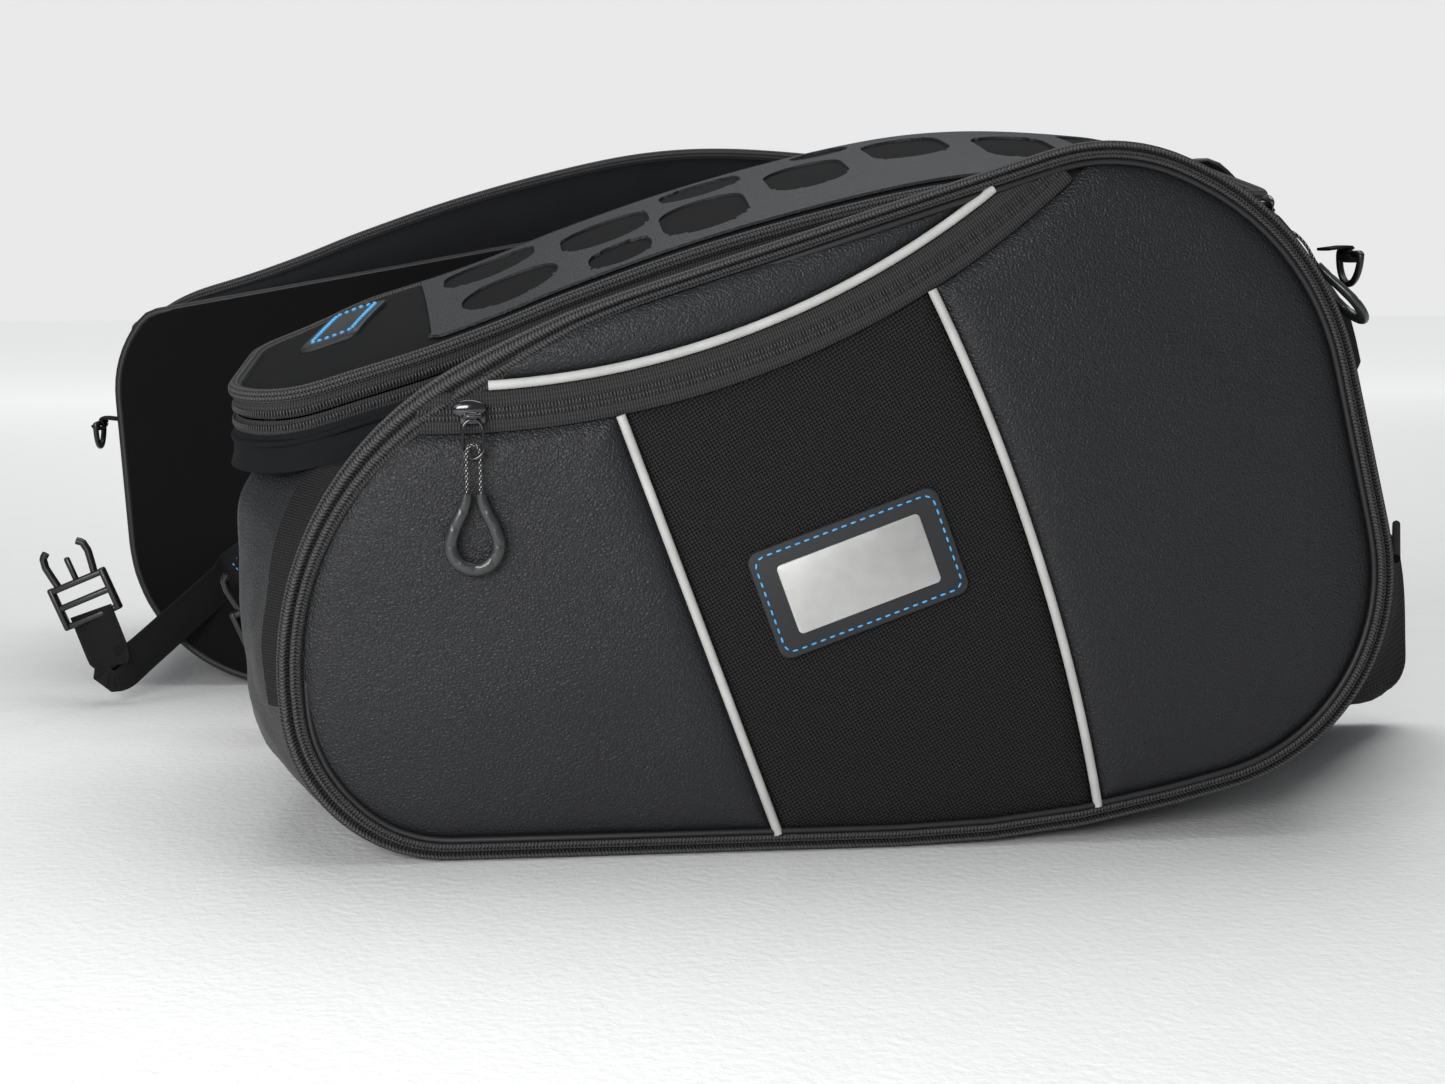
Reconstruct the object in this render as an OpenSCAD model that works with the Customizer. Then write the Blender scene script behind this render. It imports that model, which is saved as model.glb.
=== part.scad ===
// A pair of throw-over saddlebags for a motorcycle, standing side by side on a floor.
// +X runs along the bags towards their high end, +Y from the right bag to the left one, +Z up.
// Each bag is drawn once, with y counted from its outer face to its back; the left bag is its mirror image.

/* [Bag] */
// Depth of a bag from its edge roll to the outside of its back panel
bag_depth = 190; // [170:1:210]
// Width of the edge roll round the outer face
roll_w = 7; // [5:0.5:9]
// Depth of the edge roll
roll_depth = 12; // [10:0.5:14]
// Thickness of the side, bottom and lid walls
wall = 3; // [2:0.5:4]
// How far the middle of the outer face stands in front of the edge roll
crown_h = 5; // [3:0.5:6]
// Height of the folded collar under the lid
collar_h = 20; // [14:1:24]
// Height of the lid above its zip
lid_h = 12; // [8:1:16]

/* [Pair] */
// Gap between the two back panels
yoke_gap = 150; // [130:1:220]
// How far the left bag stands behind the right one along X
stagger = 105; // [0:1:130]
// Width of a yoke strap
yoke_w = 50; // [30:1:60]

/* [Zips and pulls] */
// Radius of the curved pocket zip
zip_r = 361; // [340:1:380]
// Width of the reflective piping
piping_w = 3.6; // [2.5:0.1:4.5]
// Diameter of a pull cord
cord_d = 1.3; // [1:0.1:1.6]
// Width of a moulded pull grip
grip_w = 24; // [20:1:26]

/* [Hidden] */

// Gap kept between neighbouring pieces
gap = 0.3;
// Far larger than a bag, for cutting
big = 900;
// Where the pair's middle stands along X
pair_x = -27.5;

// Outlines of the outer face, of the bulge behind it and of the back panel: [x, z, corner radius]
face_corners = [
    [-212, 0, 66], [84, 0, 470], [248, 41, 88], [227, 131, 178],
    [196, 250, 118], [112, 288, 80], [-105, 217, 326], [-230, 156, 137]
];
bulge_corners = [
    [-232, 0, 66], [84, 0, 470], [266, 40, 88], [246, 131, 178],
    [212, 258, 118], [112, 300, 80], [-95, 228, 480], [-246, 160, 70]
];
back_corners = [
    [-226, 0, 85], [140, 0, 300], [326, 14, 22], [280, 215, 90],
    [205, 294, 70], [20, 294, 200], [-160, 242, 150], [-236, 196, 60]
];
// Plan of the lid and its collar: [x, y, corner radius]
lid_corners = [[-240, 26, 34], [185, 26, 25], [185, 181, 25], [-196, 181, 30], [-236, 120, 40]];
// Where along y the bulge stands
bulge_y = 60;
back_y = bag_depth - 6;

// The lid zip is an arc of this radius about this point, in the plane of the outer face
lid_r = 640;
lid_centre = [95, -385];
// Rise of the lid for each millimetre of depth
lid_tilt = 0.15;
lid_front = 26;
// The lid turns about a straight line along the top of the back panel: height at x = 0 and slope
hinge_y = bag_depth - 7;
hinge_z = 246.5;
hinge_slope = 0.18;

// The pocket zip: centre of its arc, and its angles from straight down
zip_centre = [-157, 538];
zip_half = 7;
slider_angle = 2.4;

// Seams of the outer face, each from its upper to its lower end
low_seam = [[-85.4, 177], [-22, 5]];
high_seam = [[35.7, 225], [110, 9]];
high_seam_bow = 7.5;

// ---- helpers ----

function unit(v) = v / norm(v);
function corner_arc(a, p, b, r, inset) =
    let (
        u = unit(a - p),
        v = unit(b - p),
        half = acos(u * v) / 2,
        c = p + unit(u + v) * r / sin(half),
        s = p + u * r / tan(half) - c,
        e = p + v * r / tan(half) - c,
        from = atan2(s.y, s.x),
        turn = (atan2(e.y, e.x) - from + 540) % 360 - 180,
        steps = ceil(abs(turn) / 8)
    )
    [for (k = [0:steps]) c + (r - inset) * [cos(from + turn * k / steps), sin(from + turn * k / steps)]];
function flat2(p) = [p.x, p.y];
// A closed outline with rounded corners, moved inwards by inset
function outline(corners, inset = 0) =
    let (n = len(corners))
    [for (i = [0:n - 1]) each corner_arc(
        flat2(corners[(i + n - 1) % n]), flat2(corners[i]), flat2(corners[(i + 1) % n]), corners[i].z, inset)];
// Centre of the arc from p to q that bows out by bow
function bow_centre(p, q, bow) =
    let (c = norm(q - p), r = c * c / (8 * bow) + bow / 2, d = unit(q - p))
    (p + q) / 2 + (bow - r) * [-d.y, d.x];
function bow_radius(p, q, bow) = norm(q - p) * norm(q - p) / (8 * bow) + bow / 2;
function lid_arc_z(x) = sqrt(lid_r * lid_r - (x - lid_centre.x) * (x - lid_centre.x)) + lid_centre.y;

// A shape drawn in x and z, from y = a to y = b
module slab(a, b) {
    translate([0, b, 0]) rotate([90, 0, 0]) linear_extrude(b - a) children();
}
// A strip of webbing from p to q, w wide and t thick, its width upright
module webbing(p, q, w, t) {
    d = q - p;
    translate(p) rotate([0, -atan2(d.z, d.x), 0]) rotate([0, 0, atan2(d.y, norm([d.x, d.z]))])
        translate([0, -t / 2, -w / 2]) cube([norm(d), t, w]);
}
// Everything under the lid's curved plane, raised by h
module under_lid(h) {
    hull() {
        slab(-20, -19) under_arc(h + lid_tilt * (-19 - lid_front));
        slab(219, 220) under_arc(h + lid_tilt * (219 - lid_front));
    }
}
module under_arc(h) {
    polygon([[-300, -200], [400, -200], for (x = [400:-20:-300]) [x, lid_arc_z(x) + h]]);
}
// Everything under the collar's top, which meets the hinge line at the back
module under_collar(h) {
    hull() {
        slab(-20, -19) under_arc(h + lid_tilt * (-19 - lid_front));
        slab(219, 220) under_hinge(h);
    }
}
module under_hinge(h) {
    polygon([[-300, -200], [400, -200], [400, hinge_z + 400 * hinge_slope + h], [-300, hinge_z - 300 * hinge_slope + h]]);
}
// The closed bag behind its outer face, grown by grow
module bag_hull(grow) {
    hull() {
        slab(roll_depth + gap, roll_depth + gap + 1) polygon(outline(face_corners, 1 - grow));
        slab(bulge_y, bulge_y + 1) polygon(outline(bulge_corners, -grow));
        slab(back_y - 1, back_y) polygon(outline(back_corners, -grow));
    }
}
module bag_hollow() {
    hull() {
        slab(roll_depth - 1, roll_depth + 1.5) polygon(outline(face_corners, 1 + wall));
        slab(bulge_y, bulge_y + 1) polygon(outline(bulge_corners, wall));
        slab(back_y - 1, back_y + 1) polygon(outline(back_corners, wall));
    }
}
module gusset_shell() {
    intersection() {
        difference() {
            bag_hull(0);
            bag_hollow();
        }
        under_collar(-collar_h - 2 - gap);
    }
}
module lid_plan(inset) {
    linear_extrude(400) polygon(outline(lid_corners, inset));
}
// The crowned front of the outer face, raised by proud
module crowned(proud) {
    face_r = 1400;
    end_r = 3450;
    intersection() {
        translate([-big, face_r - crown_h - proud, 140]) rotate([0, 90, 0]) cylinder(r=face_r, h=2 * big, $fn=1440);
        translate([5, -crown_h - proud, -big]) linear_extrude(2 * big)
            polygon([[-325, 60], for (x = [-325:25:325]) [x, end_r - sqrt(end_r * end_r - x * x)], [325, 60]]);
    }
}
module ring_2d(r_out, r_in) {
    difference() {
        circle(r_out, $fn=360);
        circle(r_in, $fn=360);
    }
}
module zip_ring(r_out, r_in) {
    translate(zip_centre) ring_2d(r_out, r_in);
}
module low_side(shift) {
    polygon([low_seam[0] + [shift, 60], low_seam[1] + [shift, -60], [-big, -60], [-big, low_seam[0].y + 60]]);
}
module high_side(shift) {
    difference() {
        translate([-300, -60]) square([700, 400]);
        translate(bow_centre(high_seam[0], high_seam[1], high_seam_bow))
            circle(bow_radius(high_seam[0], high_seam[1], high_seam_bow) + shift, $fn=720);
    }
}
module face_region() {
    polygon(outline(face_corners, roll_w + gap));
}
// One piece of the padded outer face, cut to the region drawn by the children
module face_piece(proud, back) {
    intersection() {
        slab(-20, back) intersection() {
            face_region();
            children();
        }
        crowned(proud);
    }
}
module below_zip() {
    difference() {
        translate([-300, -60]) square([700, 400]);
        translate(zip_centre) circle(zip_r + zip_half + gap, $fn=360);
    }
}

// ---- sub-parts of one bag ----

module back_panel() {
    color("#1b1b1d") intersection() {
        slab(back_y + gap, bag_depth) polygon(outline(back_corners));
        under_collar(-2);
    }
}
module liner_board() {
    color("#303236") union() {
        slab(8 + gap, 10 + gap) face_region();
        translate([-130, 10, 8]) cube([150, 170, 2.2]);
    }
}
module panel_low() {
    color("#3a3c3f") face_piece(0, 8) intersection() {
        below_zip();
        low_side(-piping_w / 2 - gap);
    }
}
module panel_centre() {
    color("#1c1c1e") face_piece(0, 8) difference() {
        below_zip();
        low_side(piping_w / 2 + gap);
        high_side(-piping_w / 2 - gap);
    }
}
module panel_high() {
    color("#343639") face_piece(0, 8) intersection() {
        below_zip();
        high_side(piping_w / 2 + gap);
    }
}
module upper_panel() {
    color("#3b3d40") face_piece(0, 8) translate(zip_centre)
        circle(zip_r - zip_half - 2 - piping_w - gap, $fn=360);
}
module edge_roll() {
    color("#252527") slab(0, roll_depth) difference() {
        polygon(outline(face_corners));
        polygon(outline(face_corners, roll_w));
    }
}
module reflective_piping() {
    color("#c9c9c6") union() {
        face_piece(1, 8) intersection() {
            below_zip();
            difference() {
                low_side(piping_w / 2);
                low_side(-piping_w / 2);
            }
        }
        face_piece(1, 8) intersection() {
            below_zip();
            difference() {
                high_side(-piping_w / 2);
                high_side(piping_w / 2);
            }
        }
        face_piece(1, 8) zip_ring(zip_r - zip_half - 2, zip_r - zip_half - 2 - piping_w);
    }
}
module pocket_zip() {
    color("#242426") slab(-1, 8) intersection() {
        face_region();
        zip_ring(zip_r + zip_half, zip_r - zip_half - 2 + gap);
    }
}
module badge() {
    color("#2c2e31") translate([7.6, 0, 114]) rotate([0, -20, 0]) union() {
        slab(-7.1, -5.2) rounded_box(80, 45, 5);
        slab(-8.1, -7.1) rounded_box(60, 29, 2);
    }
}
module rounded_box(w, h, r) {
    polygon(outline([[-w / 2, -h / 2, r], [w / 2, -h / 2, r], [w / 2, h / 2, r], [-w / 2, h / 2, r]]));
}
module gusset_low() {
    color("#333538") intersection() {
        gusset_shell();
        union() {
            translate([-big - 150, 0, -10]) cube([big, 300, 400]);
            translate([-151, 0, 60]) cube([151, 300, 400]);
        }
    }
}
module gusset_bottom() {
    color("#2a2b2d") intersection() {
        gusset_shell();
        translate([-150 + gap, 0, -10]) cube([300 - 2 * gap, 300, 60]);
    }
}
module gusset_high() {
    color("#232426") intersection() {
        gusset_shell();
        union() {
            translate([150, 0, -10]) cube([big, 300, 400]);
            translate([gap, 0, 60]) cube([151, 300, 400]);
        }
    }
}
// Folded collar: a deck round the lid's foot and a soft upright wall
module collar() {
    color("#262628") difference() {
        union() {
            intersection() {
                bag_hull(0);
                under_collar(-collar_h);
            }
            intersection() {
                lid_plan(0);
                under_collar(-gap);
                under_lid(-gap);
            }
        }
        under_collar(-collar_h - 2);
        lid_plan(wall);
    }
}
module end_pocket() {
    color("#1e1e20") difference() {
        union() {
            intersection() {
                bag_hull(9);
                translate([225, 70, 16]) cube([200, 108, 88]);
            }
            intersection() {
                bag_hull(3);
                translate([200, 50, 104]) cube([200, 60, 84]);
            }
        }
        bag_hull(gap);
    }
}
// Webbing tab at the high end, and the loop that holds the ring on the tail's side
module end_tab(ring_pivot, tail_side) {
    color("#2b2b2d") union() {
        difference() {
            intersection() {
                bag_hull(7);
                translate([200, 48, 191]) cube([100, 26, 24]);
            }
            bag_hull(gap);
        }
        translate(ring_pivot) ring_keeper(tail_side);
    }
}
// Pivot of each bag's ring: on the shoulder of the right bag, on the back edge of the left one
right_ring_pivot = [230, 58, 238];
left_ring_pivot = [-246, 181, 146];
d_ring_w = 22;
wire_r = 1.5;
module ring_keeper(tail_side) {
    difference() {
        union() {
            translate([0, -7, 0]) rotate([-90, 0, 0]) cylinder(r=3.4, h=14, $fn=48);
            translate([tail_side < 0 ? -11 : 0, -7, 1.2]) cube([11, 14, 2.2]);
        }
        translate([0, -8, 0]) rotate([-90, 0, 0]) cylinder(r=wire_r + 0.1, h=16, $fn=48);
    }
}
// Ring of round wire: a straight bar in its keeper and a half hoop, hanging down
module d_ring(ring_pivot) {
    color("#141415") translate(ring_pivot) union() {
        translate([0, -d_ring_w / 2, 0]) rotate([-90, 0, 0]) cylinder(r=wire_r, h=d_ring_w, $fn=48);
        rotate([0, 0, 90]) rotate([-90, 0, 0]) rotate_extrude(angle=180, $fn=64)
            translate([d_ring_w / 2, 0]) circle(wire_r, $fn=32);
    }
}
strap_top = [-178, bag_depth + 1.5, 62];
strap_fold = [-232, bag_depth + 40, 16];
strap_end = [-246, bag_depth + 38, 50];
module mounting_strap() {
    color("#19191b") union() {
        webbing(strap_top + [20, 0, 15], strap_top, 25, 1.6);
        webbing(strap_top, strap_fold, 25, 1.6);
        webbing(strap_fold + [0, -1.6, 0], strap_end + [0, -1.6, 0], 25, 1.6);
    }
}
// Male half of a side-release buckle; its slot rides on the end of the strap
module buckle() {
    d = unit(strap_end - strap_fold);
    color("#121213") translate(strap_end + [0, -1.6, 0] - d) rotate([0, 90 - atan2(d.z, d.x), 0])
    rotate([-asin(d.y), 0, 0]) difference() {
        union() {
            translate([-16, -3.5, -4]) cube([32, 7, 24]);
            for (side = [-1, 1]) translate([side * 11 - 2, -2, 20]) cube([4, 4, 18]);
            translate([-1.5, -1.5, 20]) cube([3, 3, 12]);
        }
        translate([-12.9, -1.2, -5]) cube([25.8, 2.4, 22]);
    }
}

module lid_shell() {
    color("#222224") intersection() {
        lid_plan(0);
        difference() {
            under_lid(lid_h);
            under_lid(lid_h - wall);
        }
    }
}
module lid_band() {
    color("#2a2a2c") difference() {
        intersection() {
            lid_plan(0);
            under_lid(lid_h - wall - gap);
        }
        under_lid(0);
        lid_plan(wall);
        below_hinge_line();
    }
}
module below_hinge_line() {
    slab(hinge_y - 14, hinge_y + 40) under_hinge(0.5);
}
// Cut-outs of the overlay: [x, y, width, depth]
overlay_holes = [
    [-136, 128, 40, 56], [-127, 66, 40, 42], [-86, 104, 38, 54], [-82, 53, 26, 30], [-42, 134, 36, 46], [-46, 72, 36, 56],
    [0, 92, 34, 56], [14, 148, 26, 30], [46, 108, 34, 60], [90, 86, 32, 60], [132, 108, 28, 56]
];
module lid_overlay() {
    color("#43464a") difference() {
        intersection() {
            under_lid(lid_h + gap + 1.2);
            linear_extrude(400) polygon([[-158, 34], [168, 34], [168, 168], [-168, 168]]);
        }
        under_lid(lid_h + gap);
        for (h = overlay_holes) translate([h.x, h.y, 0]) linear_extrude(400) stadium(h[2], h[3]);
    }
}
module stadium(w, h) {
    hull() for (side = [-1, 1]) translate([0, side * (h - w) / 2]) circle(w / 2, $fn=32);
}

// ---- zip sliders and pulls, drawn about the pivot of the pull, hanging down -Z ----

pull_pin = 0.9;
module slider() {
    color("#101011") union() {
        translate([-4.7, 3.2, -3.6]) cube([9.4, 3, 7.2]);
        for (side = [-1, 1]) translate([side * 2.5 - 0.6, 0, 0]) {
            rotate([0, 90, 0]) cylinder(r=1.3, h=1.2, $fn=32);
            translate([0, 0, -1.3]) cube([1.2, 3.3, 2.6]);
        }
        translate([-2, 0, 0]) rotate([0, 90, 0]) cylinder(r=pull_pin, h=4, $fn=32);
    }
}
module pull_ring() {
    color("#202022") difference() {
        union() {
            translate([-1.6, 0, 0]) rotate([0, 90, 0]) cylinder(r=2.2, h=3.2, $fn=32);
            slab(-0.8, 0.8) difference() {
                ring_outline(4.5);
                ring_outline(3.3);
            }
        }
        translate([-3, 0, 0]) rotate([0, 90, 0]) cylinder(r=pull_pin + 0.1, h=6, $fn=32);
    }
}
module ring_outline(r) {
    translate([-r, -12.5]) square([2 * r, 6.8]);
    for (z = [-12.5, -5.7]) translate([0, z]) circle(r, $fn=48);
}
// The cord goes up in front of the ring, through it and down behind it
cord_route = [
    [-2.6, 0, -30.5], [-2.6, -0.2, -28], [-2.6, -0.8, -25], [-2.6, -1.4, -22], [-2.6, -1.7, -19],
    [-2.6, -1.6, -16], [-2.5, -1.2, -13.6], [-1.9, -0.7, -11.9], [-1, -0.3, -11.1], [0, 0, -10.9],
    [1, 0.3, -11.1], [1.9, 0.7, -11.9], [2.5, 1.2, -13.6], [2.6, 1.6, -16], [2.6, 1.7, -19],
    [2.6, 1.4, -22], [2.6, 0.8, -25], [2.6, 0.2, -28], [2.6, 0, -30.5]
];
cord_sides = 8;
function tangent(route, i) = unit(route[min(i + 1, len(route) - 1)] - route[max(i - 1, 0)]);
function cord_ring(route, i, r) =
    let (t = tangent(route, i), u = unit([0, 1, 0] - t.y * t), v = cross(t, u))
    [for (k = [0:cord_sides - 1]) route[i] + r * (cos(360 * k / cord_sides) * u + sin(360 * k / cord_sides) * v)];
module pull_cord() {
    n = len(cord_route);
    points = [for (i = [0:n - 1]) each cord_ring(cord_route, i, cord_d / 2)];
    sides = [for (i = [0:n - 2], k = [0:cord_sides - 1])
        let (a = i * cord_sides, b = a + cord_sides, m = (k + 1) % cord_sides) [a + k, a + m, b + m, b + k]];
    first = [for (k = [cord_sides - 1:-1:0]) k];
    last = [for (k = [0:cord_sides - 1]) (n - 1) * cord_sides + k];
    color("#3a3a3a") polyhedron(points, concat([first], sides, [last]));
}
module pull_grip() {
    color("#1a1b1d") slab(-2, 2) difference() {
        hull() {
            translate([0, -50]) circle(grip_w / 2, $fn=40);
            for (side = [-1, 1]) translate([side * 2.8, -32]) circle(2.2, $fn=24);
        }
        hull() {
            translate([0, -50]) circle(grip_w / 2 - 4.6, $fn=32);
            translate([0, -37]) circle(0.9, $fn=16);
        }
    }
}

// The lid's pull: its ring and its grip, which the cord ties together
module lid_pull() {
    pull_ring();
    pull_grip();
}

// ---- places on a bag ----

pocket_pivot = [zip_centre.x + zip_r * sin(slider_angle), -7.6, zip_centre.y - zip_r * cos(slider_angle)];
module at_pocket_pull() {
    translate(pocket_pivot) children();
}
lid_pivot = [177, 15.6, 255.4];
lid_pull_lean = 43;
module at_lid_pull() {
    translate(lid_pivot) rotate([0, -lid_pull_lean, 0]) rotate([0, 0, 90]) children();
}
// The lid's slider sits square on its band, with its lugs along y
module lid_slider() {
    color("#101011") translate(lid_pivot) union() {
        translate([-10, 3.9, -9]) cube([9.4, 4.7, 7.2]);
        translate([-5.4, 3.9, -2]) cube([6.6, 4.7, 3.2]);
        for (y = [-3.1, 1.9]) translate([0, y, 0]) rotate([-90, 0, 0]) cylinder(r=1.3, h=1.2, $fn=32);
        translate([0, -2, 0]) rotate([-90, 0, 0]) cylinder(r=pull_pin, h=6, $fn=32);
    }
}

// ---- the two bags ----

module right_bag() {
    translate([pair_x + stagger / 2, -yoke_gap / 2 - bag_depth, 0]) children();
}
module left_bag() {
    translate([pair_x - stagger / 2, yoke_gap / 2 + bag_depth, 0]) mirror([0, 1, 0]) children();
}
// Webbing band from back panel to back panel, sagging between them; x is its place on the bags
module yoke_strap(x) {
    z = 226 + x * 0.235;
    sag = [0, 9, 14, 14, 9, 0];
    color("#1d1d1f") for (i = [0:4]) hull() for (k = [i, i + 1])
        translate([pair_x + stagger / 2 - stagger * k / 5 + x, (k / 5 - 0.5) * (yoke_gap - 1), z - sag[k]])
            cube([yoke_w, 0.6, 3], center=true);
}

right_bag() back_panel();  // right_back_panel
right_bag() liner_board();  // right_liner_board
right_bag() panel_low();  // right_panel_low
right_bag() panel_centre();  // right_panel_centre
right_bag() panel_high();  // right_panel_high
right_bag() upper_panel();  // right_upper_panel
right_bag() edge_roll();  // right_edge_roll
right_bag() reflective_piping();  // right_reflective_piping
right_bag() pocket_zip();  // right_pocket_zip
right_bag() badge();  // right_badge
right_bag() gusset_low();  // right_gusset_low
right_bag() gusset_bottom();  // right_gusset_bottom
right_bag() gusset_high();  // right_gusset_high
right_bag() collar();  // right_collar
right_bag() end_pocket();  // right_end_pocket
right_bag() end_tab(right_ring_pivot, -1);  // right_end_tab
right_bag() d_ring(right_ring_pivot);  // right_d_ring
right_bag() mounting_strap();  // right_mounting_strap
right_bag() buckle();  // right_buckle
right_bag() lid_shell();  // right_lid_shell
right_bag() lid_overlay();  // right_lid_overlay
right_bag() lid_band();  // right_lid_band
right_bag() at_pocket_pull() slider();  // right_pocket_slider
right_bag() at_pocket_pull() pull_ring();  // right_pocket_pull_ring
right_bag() at_pocket_pull() pull_cord();  // right_pocket_pull_cord
right_bag() at_pocket_pull() pull_grip();  // right_pocket_pull_grip
right_bag() lid_slider();  // right_lid_slider
right_bag() at_lid_pull() pull_cord();  // right_lid_pull_cord
right_bag() at_lid_pull() lid_pull();  // right_lid_pull
left_bag() back_panel();  // left_back_panel
left_bag() liner_board();  // left_liner_board
left_bag() panel_low();  // left_panel_low
left_bag() panel_centre();  // left_panel_centre
left_bag() panel_high();  // left_panel_high
left_bag() upper_panel();  // left_upper_panel
left_bag() edge_roll();  // left_edge_roll
left_bag() reflective_piping();  // left_reflective_piping
left_bag() pocket_zip();  // left_pocket_zip
left_bag() badge();  // left_badge
left_bag() gusset_low();  // left_gusset_low
left_bag() gusset_bottom();  // left_gusset_bottom
left_bag() gusset_high();  // left_gusset_high
left_bag() collar();  // left_collar
left_bag() end_pocket();  // left_end_pocket
left_bag() end_tab(left_ring_pivot, 1);  // left_end_tab
left_bag() d_ring(left_ring_pivot);  // left_d_ring
left_bag() mounting_strap();  // left_mounting_strap
left_bag() buckle();  // left_buckle
left_bag() lid_shell();  // left_lid_shell
left_bag() lid_overlay();  // left_lid_overlay
left_bag() lid_band();  // left_lid_band
left_bag() at_pocket_pull() slider();  // left_pocket_slider
left_bag() at_pocket_pull() pull_ring();  // left_pocket_pull_ring
left_bag() at_pocket_pull() pull_cord();  // left_pocket_pull_cord
left_bag() at_pocket_pull() pull_grip();  // left_pocket_pull_grip
left_bag() lid_slider();  // left_lid_slider
left_bag() at_lid_pull() pull_cord();  // left_lid_pull_cord
left_bag() at_lid_pull() lid_pull();  // left_lid_pull
yoke_strap(-90);  // yoke_strap_low
yoke_strap(70);  // yoke_strap_high
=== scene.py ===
import bpy, bmesh, math
from bisect import bisect_right
from mathutils import Vector, Matrix, noise, kdtree


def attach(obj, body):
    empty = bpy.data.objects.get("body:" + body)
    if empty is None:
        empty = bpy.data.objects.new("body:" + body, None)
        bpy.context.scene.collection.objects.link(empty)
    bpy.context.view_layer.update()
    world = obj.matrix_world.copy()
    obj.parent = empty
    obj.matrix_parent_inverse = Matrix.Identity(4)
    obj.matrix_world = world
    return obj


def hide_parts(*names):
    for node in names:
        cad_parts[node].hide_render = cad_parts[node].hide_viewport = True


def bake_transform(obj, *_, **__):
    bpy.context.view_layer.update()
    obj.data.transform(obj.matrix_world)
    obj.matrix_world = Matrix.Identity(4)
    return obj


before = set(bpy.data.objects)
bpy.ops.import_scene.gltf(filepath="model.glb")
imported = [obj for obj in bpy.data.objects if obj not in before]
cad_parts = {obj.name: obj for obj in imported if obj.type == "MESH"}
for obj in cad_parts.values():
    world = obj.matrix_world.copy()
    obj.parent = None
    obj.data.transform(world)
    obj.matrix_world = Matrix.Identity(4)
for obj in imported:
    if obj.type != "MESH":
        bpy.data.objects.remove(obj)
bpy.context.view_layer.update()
sides = ("right", "left")
pi = math.pi

# one bag's own millimetres, y from its outer face to its back, as in the design
pair = {"x": -27.5, "stagger": 105, "gap": 150, "depth": 190}


def place(point, side):
    shift = pair["stagger"] / 2 if side == "right" else -pair["stagger"] / 2
    y = point[1] - pair["gap"] / 2 - pair["depth"]
    return Vector((point[0] + pair["x"] + shift, y if side == "right" else -y, point[2])) / 1000


# camera
view = {"stand": (-127, -775, 240), "turn": 6, "down": 8.3, "lens": 50}
eye = bpy.data.objects.new("camera", bpy.data.cameras.new("camera"))
eye.data.lens = view["lens"]
eye.data.sensor_width = 36
eye.data.clip_start = 0.02
eye.location = place(view["stand"], "right")
eye.rotation_euler = (math.radians(90 - view["down"]), 0, math.radians(-view["turn"]))
bpy.context.collection.objects.link(eye)
bpy.context.scene.camera = eye


# shader helpers
class Wire:
    def __init__(self, tree, socket):
        self.tree, self.socket = tree, socket

    def sum(self, operation, *values):
        n = self.tree.nodes.new("ShaderNodeMath")
        n.operation = operation
        for slot, value in zip(n.inputs, values):
            if isinstance(value, Wire):
                self.tree.links.new(value.socket, slot)
            else:
                slot.default_value = value
        return Wire(self.tree, n.outputs[0])

    def __add__(self, b):
        return self.sum("ADD", self, b)

    def __radd__(self, b):
        return self.sum("ADD", b, self)

    def __sub__(self, b):
        return self.sum("SUBTRACT", self, b)

    def __rsub__(self, b):
        return self.sum("SUBTRACT", b, self)

    def __mul__(self, b):
        return self.sum("MULTIPLY", self, b)

    def __rmul__(self, b):
        return self.sum("MULTIPLY", b, self)

    def __truediv__(self, b):
        return self.sum("DIVIDE", self, b)

    def __pow__(self, b):
        return self.sum("POWER", self, b)

    def __gt__(self, b):
        return self.sum("GREATER_THAN", self, b)

    def __lt__(self, b):
        return self.sum("LESS_THAN", self, b)

    def __mod__(self, b):
        return self.sum("FLOORED_MODULO", self, b)

    def sin(self):
        return self.sum("SINE", self)

    def abs(self):
        return self.sum("ABSOLUTE", self)

    def floor(self):
        return self.sum("FLOOR", self)


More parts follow.
